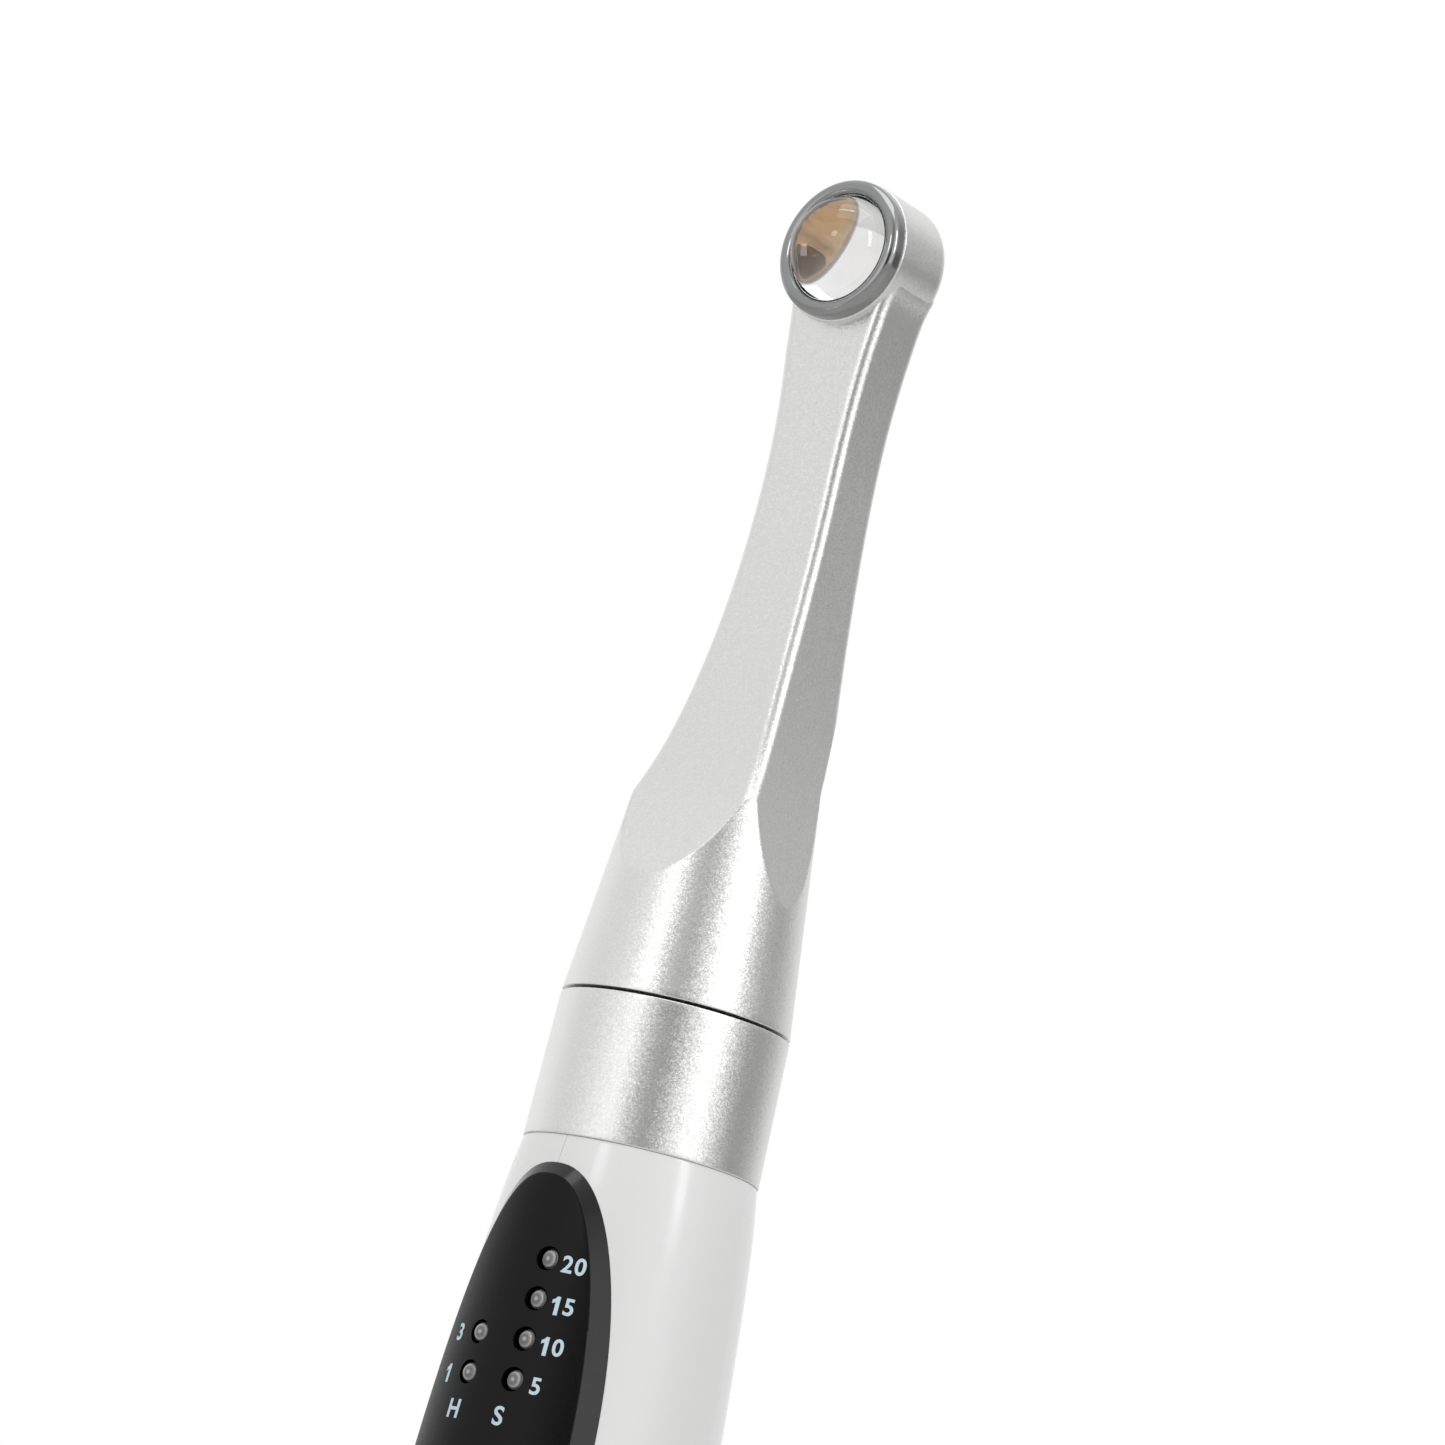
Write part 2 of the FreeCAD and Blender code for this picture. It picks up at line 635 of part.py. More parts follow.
def button(name):
    """Round key: a softly edged face, a rim behind the panel and a stem over its switch."""
    x, z, r = button_spots()[name]
    face = front_y(x, z, PANEL_PROUD) - BUTTON_PROUD
    edge_x = abs(x) + r + BUTTON_FLANGE
    rim = front_y(edge_x, z, -PANEL_SUNK) + 0.1
    stem_end = BOARD_FRONT_Y - SWITCH_T - PLUNGER_T - BUTTON_TRAVEL - 0.05
    cap = rod_y(r, face, rim, x, z)
    front = [e for e in cap.Edges if e.BoundBox.YMax < face + 0.01]
    cap = cap.makeFillet(BUTTON_EDGE, front)
    cap = cap.fuse(rod_y(r + BUTTON_FLANGE, rim, rim + BUTTON_FLANGE_T, x, z))
    return cap.fuse(rod_y(PLUNGER_R, rim, stem_end, x, z)).removeSplitter()


def circuit_board():
    board = block(-BOARD_HALF_W, BOARD_HALF_W, BOARD_FRONT_Y, BOARD_FRONT_Y + BOARD_T,
                  BOARD_BOTTOM, BOARD_TOP)
    for x, z in SCREW_SPOTS:
        board = board.cut(rod_y(SCREW_R + 0.1, -20, 0, x, z))
    return board


def on_board(half_x, half_z, height, x, z):
    return block(x - half_x, x + half_x, BOARD_FRONT_Y - height, BOARD_FRONT_Y,
                 z - half_z, z + half_z)


def indicator_leds():
    return Part.makeCompound([on_board(LAMP / 2, LAMP / 4, LAMP_T, x, z)
                              for x, z in pipe_spots()])


def tact_switches():
    switches = []
    for x, z, _ in button_spots().values():
        body = on_board(SWITCH / 2, SWITCH / 2, SWITCH_T, x, z)
        top = BOARD_FRONT_Y - SWITCH_T
        switches.append(body.fuse(rod_y(PLUNGER_R, top - PLUNGER_T, top, x, z)))
    return Part.makeCompound(switches)


def controller_chip():
    return on_board(CHIP / 2, CHIP / 2, CHIP_T, 0, CHIP_Z)


def driver_inductor():
    return on_board(INDUCTOR / 2, INDUCTOR / 2, INDUCTOR_T, 0, INDUCTOR_Z)


def buzzer():
    return rod_y(BUZZER_R, BOARD_FRONT_Y - BUZZER_T, BOARD_FRONT_Y, 0, BUZZER_Z)


def board_screws():
    screws = []
    deep = BOARD_FRONT_Y + BOARD_T + SCREW_DEEP
    for x, z in SCREW_SPOTS:
        head = rod_y(SCREW_HEAD_R, BOARD_FRONT_Y - SCREW_HEAD_T, BOARD_FRONT_Y, x, z)
        cross = rod_y(SCREW_RECESS_R, BOARD_FRONT_Y - SCREW_HEAD_T, BOARD_FRONT_Y - 0.4, x, z)
        screws.append(head.cut(cross).fuse(rod_y(SCREW_R, BOARD_FRONT_Y, deep, x, z)))
    return Part.makeCompound(screws)


def inner_frame():
    """Bulkhead above the battery and the shelf that carries the circuit board."""
    bulk_low = CELL_TOP + CONTACT_T
    radius = housing_r(bulk_low) - WALL - SLEEVE_GAP
    disc = rod(radius, bulk_low, bulk_low + BULKHEAD_T)
    back = BOARD_FRONT_Y + BOARD_T
    shelf = block(-BOARD_HALF_W, BOARD_HALF_W, back, back + FRAME_T, bulk_low, BOARD_TOP)
    frame = disc.fuse(shelf)
    for x, z in SCREW_SPOTS:
        frame = frame.cut(rod_y(SCREW_R + 0.02, back, back + FRAME_T, x, z))
    slot = STRIP_W / 2 + 0.3
    return frame.cut(block(-slot, slot, -20, BOARD_FRONT_Y + 0.1, 0, BOARD_BOTTOM))


def lead_wires():
    """Two short leads from the contacts down to the board's top edge."""
    top = contact_foot()
    leads = []
    for x in CONTACT_SPOTS:
        start = V(x, 0, top)
        bend = V(x, 0, top - 1.6)
        end = V(x, BOARD_FRONT_Y + BOARD_T + FRAME_T + LEAD_R + 0.1, BOARD_TOP - 5.0)
        spine = Part.BSplineCurve()
        spine.interpolate([start, bend, (bend + end) / 2 + V(0, 1.0, 0), end])
        ring = Part.Wire(Part.makeCircle(LEAD_R, start, V(0, 0, 1)))
        leads.append(Part.Wire(spine.toShape()).makePipeShell([ring], True, True))
    return Part.makeCompound(leads)


# Battery and tail

def battery_cell():
    """Lithium cell with a stepped top for its raised contact."""
    body = rod(CELL_R, CELL_BOTTOM, CELL_TOP - CELL_STEP)
    return body.fuse(rod(CELL_TIP_R, CELL_BOTTOM, CELL_TOP))


def battery_sleeve():
    inner = CELL_R + SLEEVE_GAP
    bottom = HOUSING_BOTTOM + TAIL_RING_LEN + 0.38
    return tube(inner + CELL_SLEEVE_T, inner, bottom, CELL_TOP + CONTACT_T)


def positive_contact():
    return rod(CONTACT_R, CELL_TOP, CELL_TOP + CONTACT_T)


def ground_strip():
    """Metal strip from the tail ring, past the battery, to the board's front."""
    ring_top = HOUSING_BOTTOM + TAIL_RING_LEN
    end_y = BOARD_FRONT_Y
    low_y = -(CELL_R + SLEEVE_GAP + CELL_SLEEVE_T + STRIP_CLEAR + STRIP_T)
    z_bend = BOARD_BOTTOM - 6.0
    corners = [(low_y, ring_top), (low_y, z_bend), (end_y - STRIP_T, BOARD_BOTTOM - 1),
               (end_y - STRIP_T, BOARD_BOTTOM + 3), (end_y, BOARD_BOTTOM + 3),
               (end_y, BOARD_BOTTOM - 1), (low_y + STRIP_T, z_bend),
               (low_y + STRIP_T, ring_top)]
    points = [V(-STRIP_W / 2, y, z) for y, z in corners]
    return Part.Face(Part.makePolygon(points + points[:1])).extrude(V(STRIP_W, 0, 0))


def tail_ring():
    """Threaded metal ring fixed in the housing; drawn without its thread."""
    low = HOUSING_BOTTOM
    return tube(TAIL_RING_R, CAP_SPIGOT_R + SEAT_GAP, low, low + TAIL_RING_LEN)


def tail_cap():
    """Screw cap over the battery: flat face to stand on, spigot that screws in the ring."""
    cap = rod(CAP_R, 0, CAP_LEN)
    foot = [e for e in cap.Edges if e.BoundBox.ZMax < 0.01]
    cap = cap.makeFillet(CAP_EDGE, foot)
    cap = cap.fuse(rod(CAP_SPIGOT_R, CAP_LEN, CAP_LEN + CAP_SPIGOT))
    cap = cap.cut(rod(CAP_BORE_R, CAP_FLOOR, CAP_LEN + CAP_SPIGOT))
    cap = cap.cut(rod(CHARGE_RING_R, 0, CAP_FLOOR))
    half = SEAL_R + GROOVE_GAP
    z = seal_z()
    return cap.cut(tube(CAP_SPIGOT_R, seal_line_r() - SEAL_R, z - half, z + half))


def seal_z():
    return CAP_LEN + 2.0


def seal_line_r():
    return CAP_SPIGOT_R + SEAT_GAP - 0.01 - SEAL_R


def cap_seal():
    return ring_of(SEAL_R, seal_line_r(), seal_z())


def charge_pin():
    return rod(CHARGE_PIN_R, 0, CAP_FLOOR)


def charge_insulator():
    return tube(CHARGE_RING_R, CHARGE_PIN_R, 0, CAP_FLOOR)


def spring_plate():
    return rod(CAP_BORE_R - 0.2, CAP_FLOOR + 0.1, CAP_FLOOR + 0.1 + PLATE_T)


def battery_spring():
    """Coil under the cell, at the length it has with the cap closed."""
    low = CAP_FLOOR + 0.1 + PLATE_T + SPRING_WIRE
    high = CELL_BOTTOM - 0.05 - SPRING_WIRE
    helix = Part.makeHelix((high - low) / SPRING_TURNS, high - low, SPRING_R)
    wire = Part.Wire(Part.makeCircle(SPRING_WIRE, V(SPRING_R, 0, 0), V(0, 1, 0)))
    spring = helix.makePipeShell([wire], True, True)
    spring.translate(V(0, 0, low))
    return spring


PIECES = {
    "head_shell": head_shell, "lens_bezel": lens_bezel, "lens_seal": lens_seal, "lens": lens,
    "reflector_cup": reflector_cup, "led_package": led_package, "led_dies": led_dies,
    "led_board": led_board, "heat_spreader": heat_spreader, "led_wires": led_wires,
    "pivot_sleeve": pivot_sleeve, "pivot_oring": pivot_oring, "pivot_clip": pivot_clip,
    "plug_insulator": plug_insulator, "plug_pin": plug_pin,
    "collar": collar, "bearing_bush": bearing_bush, "socket_block": socket_block,
    "socket_contacts": socket_contacts, "lead_wires": lead_wires,
    "housing_left": housing_left, "housing_right": housing_right,
    "control_panel": control_panel, "light_pipes": light_pipes,
    "inner_frame": inner_frame, "circuit_board": circuit_board,
    "indicator_leds": indicator_leds, "tact_switches": tact_switches,
    "controller_chip": controller_chip, "driver_inductor": driver_inductor, "buzzer": buzzer,
    "board_screws": board_screws, "battery_cell": battery_cell,
    "battery_sleeve": battery_sleeve, "positive_contact": positive_contact,
    "ground_strip": ground_strip, "tail_ring": tail_ring, "tail_cap": tail_cap,
    "cap_seal": cap_seal, "charge_pin": charge_pin, "charge_insulator": charge_insulator,
    "spring_plate": spring_plate, "battery_spring": battery_spring,
}

os.makedirs("parts", exist_ok=True)
for piece, make in PIECES.items():
    make().exportStep(f"parts/{piece}.step")
for piece in button_spots():
    button(piece).exportStep(f"parts/{piece}.step")
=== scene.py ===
# %% [markdown]
# # A cordless dental curing light
# A dentist holds this lamp like a pen and hardens a filling with the blue light from its small
# round head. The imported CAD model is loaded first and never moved. It gives every size and
# place, and the rest of this lesson only builds finer surfaces and finishes on top of it.

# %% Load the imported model
import math

import bmesh
import bpy
import numpy as np
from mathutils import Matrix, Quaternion, Vector
from mathutils.bvhtree import BVHTree


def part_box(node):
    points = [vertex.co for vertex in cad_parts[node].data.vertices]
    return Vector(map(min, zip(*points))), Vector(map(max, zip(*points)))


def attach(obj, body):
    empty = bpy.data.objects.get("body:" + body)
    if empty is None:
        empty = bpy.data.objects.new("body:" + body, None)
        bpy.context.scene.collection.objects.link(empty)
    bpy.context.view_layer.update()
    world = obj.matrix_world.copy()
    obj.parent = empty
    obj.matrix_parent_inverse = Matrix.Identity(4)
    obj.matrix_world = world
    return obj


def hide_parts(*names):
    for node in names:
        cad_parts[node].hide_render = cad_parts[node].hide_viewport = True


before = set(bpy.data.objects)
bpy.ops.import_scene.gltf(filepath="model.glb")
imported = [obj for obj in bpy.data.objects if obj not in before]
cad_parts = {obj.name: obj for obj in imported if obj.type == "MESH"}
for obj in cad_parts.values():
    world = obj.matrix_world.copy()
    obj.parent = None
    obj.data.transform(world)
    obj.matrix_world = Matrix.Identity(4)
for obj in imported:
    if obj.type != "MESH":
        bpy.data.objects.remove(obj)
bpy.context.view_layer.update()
MM = 0.001
scene = bpy.context.scene

# %% [markdown]
# ## The camera
# A long lens seen from half a metre keeps the slim handle free of distortion, as in a catalogue
# picture. The camera could be aimed with a constraint, but a place, an aim and a roll say the
# same thing in three plain numbers.

# %% Camera
CAMERA_PLACE = Vector((0.3167, -0.3810, 0.1093))
CAMERA_AIM = Vector((-0.0016, -0.0013, 0.2083))
CAMERA_ROLL = 13.52      # degrees; the handle leans to the right

camera = bpy.data.objects.new("camera", bpy.data.cameras.new("camera"))
camera.data.lens = 140.5     # mm
camera.data.clip_start = 0.01
camera.location = CAMERA_PLACE
camera.rotation_euler = ((CAMERA_AIM - CAMERA_PLACE).to_track_quat("-Z", "Y")
                         @ Quaternion((0, 0, 1), math.radians(CAMERA_ROLL))).to_euler()
scene.collection.objects.link(camera)
scene.camera = camera
print("camera to axis, mm:", round((CAMERA_AIM - CAMERA_PLACE).length / MM))

# %% [markdown]
# ## Colours and nodes
# Paint shops give colours as sRGB hex values, and shaders work in linear light, so one function
# turns one into the other. A second small function adds any node with its settings and links.

# %% Colour and node helpers


def linear(hex_colour):
    """sRGB hex to linear RGBA: each channel is undone with the sRGB curve."""
    channels = [int(hex_colour[i:i + 2], 16) / 255 for i in (1, 3, 5)]
    return tuple(c / 12.92 if c <= 0.04045 else ((c + 0.055) / 1.055) ** 2.4
                 for c in channels) + (1.0,)


def add(tree, kind, settings=None, links=None):
    """Adds one node. Settings are properties or socket values, links are socket: (node, output)."""
    node = tree.nodes.new("ShaderNode" + kind)
    for key, value in (settings or {}).items():
        if isinstance(key, str) and key not in node.inputs:
            setattr(node, key, value)
        else:
            node.inputs[key].default_value = value
    for socket, (source, output) in (links or {}).items():
        tree.links.new(source.outputs[output], node.inputs[socket])
    return node


def new_finish(name):
    """An empty node material and its tree."""
    finish = bpy.data.materials.new(name)
    finish.use_nodes = True
    finish.node_tree.nodes.clear()
    return finish, finish.node_tree


def ramp(tree, stops, links, blend="LINEAR"):
    """A colour ramp from (position, linear colour) stops."""
    node = add(tree, "ValToRGB", {}, links)
    node.color_ramp.interpolation = blend
    elements = node.color_ramp.elements
    while len(elements) < len(stops):
        elements.new(0.5)
    for element, (position, colour) in zip(elements, stops):
        element.position, element.color = position, colour
    return node


def grey(value):
    """Linear grey: the same value in red, green and blue."""
    return (value, value, value, 1.0)


print("mid grey in linear light:", round(linear("#808080")[0], 3))

# %% [markdown]
# ## Studio
# The lamp stands in a white tent with two dark gaps in it. Metal shows nothing but its
# surroundings, so those gaps draw the dark bands on the collar. The tent is a world shader whose
# brightness depends on the compass direction and a little on the height, and four softboxes add
# the small sharp highlights.

# %% Tent
TENT_LOW = (             # degrees to the right of the camera, brightness at eye level
    (-180, 1.0), (-133, 0.98), (-95, 0.76), (-80, 0.80), (-60, 1.1), (-46, 1.35), (-28, 1.1),
    (-17, 0.30), (-6, 0.03), (4, 0.08), (14, 0.65), (26, 1.15), (45, 1.35), (60, 0.85),
    (76, 0.28), (92, 0.22), (108, 0.34), (122, 0.52), (140, 0.8), (165, 0.95), (180, 1.0))
TENT_HIGH = (            # the same a little higher up, where the gaps are much paler
    (-180, 0.9), (-133, 0.9), (-95, 0.82), (-80, 0.82), (-60, 0.86), (-46, 0.88), (-28, 0.78),
    (-17, 0.55), (-6, 0.42), (4, 0.50), (14, 0.8), (26, 1.15), (45, 1.35), (60, 1.0),
    (76, 0.55), (92, 0.44), (108, 0.46), (122, 0.62), (140, 0.8), (165, 0.9), (180, 0.9))
camera_bearing = math.atan2(CAMERA_PLACE.y, CAMERA_PLACE.x)

world = bpy.data.worlds.new("tent")
world.use_nodes = True
scene.world = world
tree = world.node_tree
tree.nodes.clear()
direction = add(tree, "TexCoord")
parts = add(tree, "SeparateXYZ", {}, {"Vector": (direction, "Generated")})
bearing = add(tree, "Math", {"operation": "ARCTAN2"}, {0: (parts, "Y"), 1: (parts, "X")})
turns = add(tree, "Math", {"operation": "MULTIPLY_ADD", 1: 1 / (2 * math.pi),
                           2: 0.5 - camera_bearing / (2 * math.pi)}, {0: (bearing, 0)})
place = add(tree, "Math", {"operation": "FRACT"}, {0: (turns, 0)})
low_wall, high_wall = [ramp(tree, [(0.5 + d / 360, grey(b)) for d, b in stops],
                            {"Fac": (place, 0)}, "EASE") for stops in (TENT_LOW, TENT_HIGH)]
climb = add(tree, "MapRange", {"interpolation_type": "SMOOTHSTEP", "From Min": 0.14,
                               "From Max": 0.30}, {"Value": (parts, "Z")})
walls = add(tree, "Mix", {"data_type": "RGBA"},
            {0: (climb, 0), 6: (low_wall, 0), 7: (high_wall, 0)})
height = add(tree, "Math", {"operation": "ABSOLUTE"}, {0: (parts, "Z")})
lid = add(tree, "MapRange", {"interpolation_type": "SMOOTHSTEP", "From Min": 0.55,
                             "From Max": 0.9, "To Min": 0.0, "To Max": 1.0},
          {"Value": (height, 0)})
tent = add(tree, "Mix", {"data_type": "RGBA", 7: grey(0.9)}, {0: (lid, 0), 6: (walls, 2)})
seen = add(tree, "LightPath")
backdrop = add(tree, "Mix", {"data_type": "RGBA", 7: grey(1.0)},
               {0: (seen, "Is Camera Ray"), 6: (tent, 2)})
glow = add(tree, "Background", {"Strength": 1.0}, {"Color": (backdrop, 2)})
add(tree, "OutputWorld", {}, {"Surface": (glow, 0)})
scene.view_settings.view_transform = "Standard"
print("tent stops:", len(TENT_LOW) + len(TENT_HIGH))

# %% [markdown]
# ## Softboxes
# A softbox is a rectangular area light. The tent could hold bright patches instead, but lamps
# can be placed and sized on their own. One strip draws the streak on the white handle, two small
# panes shine in the lens, and a weak one lifts the top of the head.

# %% Softboxes
LIT_PLACE = Vector((0, 0, 0.2))


def softbox(name, right, up, width, height, radiance, distance=0.7):
    """Rectangular area light at a bearing right of the camera and an elevation, in degrees."""
    light = bpy.data.lights.new(name, "AREA")
    light.shape = "RECTANGLE"
    light.size, light.size_y = width, height
    light.energy = radiance * width * height * math.pi
    box = bpy.data.objects.new(name, light)
    a, e = camera_bearing + math.radians(right), math.radians(up)
    box.location = LIT_PLACE + distance * Vector((math.cos(a) * math.cos(e),
                                                  math.sin(a) * math.cos(e), math.sin(e)))
    box.rotation_euler = (LIT_PLACE - box.location).to_track_quat("-Z", "Y").to_euler()
    box.visible_camera = False
    scene.collection.objects.link(box)
    return box


softbox("strip_right", 44, 28, 0.12, 0.36, 4.0)
softbox("pane_low_left", -70, -24, 0.18, 0.22, 3.5)
softbox("pane_high_left", -38, 22, 0.12, 0.12, 3.5)
softbox("top_light", -20, 75, 0.5, 0.5, 1.2)
print("softboxes:", len(bpy.data.lights))

# %% [markdown]
# ## Floor
# The lamp stands on a pale board. A grid whose rim curves up very gently could hide the horizon,
# but a wide flat board is the plainest thing that shows where the light stands.

# %% Floor


def piece_from(name, patches, sharp=35.0):
    """One mesh from grid patches (points of shape rows x columns x 3). Shared edges are merged,
    poles closed, faces turned outwards, and edges steeper than the sharp angle kept crisp."""
    points, faces, start = [], [], 0
    for patch in patches:
        rows, cols = patch.shape[:2]
        r, c = np.meshgrid(np.arange(rows - 1), np.arange(cols - 1), indexing="ij")
        a = start + r * cols + c
        faces.append(np.stack([a, a + 1, a + cols + 1, a + cols], -1).reshape(-1, 4))
        points.append(patch.reshape(-1, 3))
        start += rows * cols
    mesh = bpy.data.meshes.new(name)
    mesh.from_pydata(np.concatenate(points).tolist(), [], np.concatenate(faces).tolist())
    piece = bpy.data.objects.new(name, mesh)
    scene.collection.objects.link(piece)
    weld(mesh)
    soften(mesh, sharp)
    return piece


def weld(mesh):
    """Merges points that share a place and turns the faces of the closed shell outwards."""
    shell = bmesh.new()
    shell.from_mesh(mesh)
    bmesh.ops.remove_doubles(shell, verts=shell.verts, dist=2e-7)
    bmesh.ops.dissolve_degenerate(shell, edges=shell.edges, dist=1e-8)
    bmesh.ops.recalc_face_normals(shell, faces=shell.faces)
    shell.to_mesh(mesh)
    shell.free()


def soften(mesh, sharp):
    """Smooth shading that keeps edges steeper than an angle in degrees crisp."""
    mesh.shade_smooth()
    mesh.set_sharp_from_angle(angle=math.radians(sharp))


def dress(piece, body, slot, finish, *nodes):
    """Puts a finish on a piece, ties it to its body, and lets it stand for CAD nodes.
    The slot is not used.
    """
    if finish:
        piece.data.materials.clear()
        piece.data.materials.append(finish)
    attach(piece, body)
    if nodes:
        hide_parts(*nodes)
    print(piece.name, "faces:", len(piece.data.polygons))
    return piece


board_finish, tree = new_finish("painted_board")
spot = add(tree, "TexCoord")
mottle = add(tree, "TexNoise", {"Scale": 60.0, "Detail": 4.0}, {"Vector": (spot, "Object")})
tone = ramp(tree, [(0.3, linear("#D3D3D1")), (0.7, linear("#DADAD8"))], {"Fac": (mottle, 0)})
paint = add(tree, "BsdfPrincipled", {"Roughness": 0.6}, {"Base Color": (tone, 0)})
add(tree, "OutputMaterial", {}, {"Surface": (paint, 0)})

across = np.linspace(-2.5, 2.5, 21)
x, y = np.meshgrid(across, across)
floor = piece_from("floor", [np.stack([x, y, 0 * x], -1)])
floor.data.materials.append(board_finish)
print("floor faces:", len(floor.data.polygons))

# %% [markdown]
# ## Blasted and anodised aluminium
# Head, collar and tail cap are turned and milled aluminium, blasted with glass beads and clear
# anodised. Every bead leaves a dent, so the surface is thousands of tiny tilted facets: soft
# reflections full of glitter. Real dents are about 0.1 mm. A bump texture would blur them, so
# each cell of a Voronoi texture tilts the normal its own way. The cells are 0.11 mm across,
# about life size, and the tilt is only a few degrees.

# %% Blasted aluminium
DENT = 0.11              # mm


def blasted_aluminium(name, colour, roughness, tilt):
    """Metal whose normal is the surface's plus tilt x (the cell's colour - 0.5), made unit long."""
    finish, tree = new_finish(name)
    spot = add(tree, "TexCoord")
    dents = add(tree, "TexVoronoi", {"Scale": 1 / (DENT * MM), "Randomness": 1.0},
                {"Vector": (spot, "Object")})
    centred = add(tree, "VectorMath", {"operation": "SUBTRACT", 1: (0.5, 0.5, 0.5)},
                  {0: (dents, "Color")})
    lean = add(tree, "VectorMath", {"operation": "SCALE", "Scale": tilt}, {0: (centred, 0)})
    surface = add(tree, "NewGeometry")
    facet = add(tree, "VectorMath", {"operation": "ADD"}, {0: (surface, "Normal"), 1: (lean, 0)})
    normal = add(tree, "VectorMath", {"operation": "NORMALIZE"}, {0: (facet, 0)})
    wear = add(tree, "TexNoise", {"Scale": 1 / (6 * MM), "Detail": 3.0},
               {"Vector": (spot, "Object")})
    rough = add(tree, "MapRange", {"From Min": 0.35, "From Max": 0.65,
                                   "To Min": roughness - 0.01, "To Max": roughness + 0.01},
                {"Value": (wear, 0)})
    # Each dent takes a tone of its own at random. The brightest few are a painted glint on top of
    # the glitter that the tilted normals give.
    random_tone_and_painted_glint = add(tree, "SeparateColor", {}, {"Color": (dents, "Color")})
    tone = ramp(tree, [(0.0, [0.94 * c for c in colour[:3]] + [1]), (0.85, colour),
                       (1.0, [min(1, 1.06 * c) for c in colour[:3]] + [1])],
                {"Fac": (random_tone_and_painted_glint, 0)})
    metal = add(tree, "BsdfPrincipled", {"Metallic": 1.0},
                {"Base Color": (tone, 0), "Roughness": (rough, 0), "Normal": (normal, 0)})
    add(tree, "OutputMaterial", {}, {"Surface": (metal, 0)})
    return finish


aluminium = blasted_aluminium("blasted_aluminium", linear("#EAEAE9"), 0.31, 0.14)
print("dents per mm:", round(1 / DENT, 1))

# %% [markdown]
# ## Plain metals and mouldings
# Most other pieces need one of two recipes. A metal has a slightly uneven polish. A moulding has
# the fine grain of its mould. Both take a colour, a roughness and the real size of the grain.

# %% Two recipes


def grained(name, colour, roughness, grain, depth, metallic=0.0, spread=0.06, **more):
    """Metal or moulding: noise of the grain's size (mm) varies tone and roughness, and lifts
    the surface by the depth (mm)."""
    finish, tree = new_finish(name)
    spot = add(tree, "TexCoord")
    noise = add(tree, "TexNoise", {"Scale": 1 / (grain * MM), "Detail": 3.0},
                {"Vector": (spot, "Object")})
    low = [c * (1 - spread) for c in colour[:3]] + [1]
    high = [min(1.0, c * (1 + spread)) for c in colour[:3]] + [1]
    tone = ramp(tree, [(0.3, low), (0.7, high)], {"Fac": (noise, 0)})
    rough = add(tree, "MapRange", {"From Min": 0.3, "From Max": 0.7,
                                   "To Min": max(0.02, roughness - 0.04),
                                   "To Max": roughness + 0.04}, {"Value": (noise, 0)})
    bump = add(tree, "Bump", {"Distance": depth * MM}, {"Height": (noise, 0)})
    settings = {"Metallic": metallic}
    settings.update(more)
    shader = add(tree, "BsdfPrincipled", settings, {
        "Base Color": (tone, 0), "Roughness": (rough, 0), "Normal": (bump, 0)})
    add(tree, "OutputMaterial", {}, {"Surface": (shader, 0)})
    return finish


# Moulded ABS from a polished mould: bright white, glossy, with a very faint orange-peel wave.
white_abs = grained("white_abs", linear("#E8E8E8"), 0.16, 1.4, 0.0016, IOR=1.54, spread=0.004)
# Polycarbonate from a spark-eroded mould: near black, a fine satin grain.
black_face = grained("black_polycarbonate_satin", linear("#050506"), 0.36, 0.22, 0.010,
                     spread=0.3, **{"IOR": 1.585, "Specular IOR Level": 0.15})
# The same plastic where the mould is polished: a glossy dark rim.
black_rim = grained("black_polycarbonate_gloss", linear("#040506"), 0.12, 1.2, 0.001,
                    spread=0.2, **{"IOR": 1.585, "Specular IOR Level": 0.45})
# Silicone rubber keys: soft, dull, dark grey, slightly dusty.
key_rubber = grained("silicone_key", linear("#1B1C1F"), 0.55, 0.3, 0.006, IOR=1.42, spread=0.2)
# Nickel plate over polished brass: darker and warmer than chrome, nearly a mirror.
dark_nickel = grained("black_nickel_plate", linear("#9B9C9C"), 0.10, 2.5, 0.0006, metallic=1.0,
                      spread=0.03)
# Screen-printed ink: flat, pale blue-white, with the mesh's small unevenness.
ink = grained("screen_print_ink", linear("#C6DAE6"), 0.5, 0.25, 0.002, IOR=1.5, spread=0.05)
print("finishes so far:", len(bpy.data.materials))

# %% [markdown]
# ## Finishes for the pieces inside
# Nobody sees the battery or the board until the lamp is opened, but each keeps its own real
# finish. A table gives the record's slot, the colour, roughness, grain and kind.

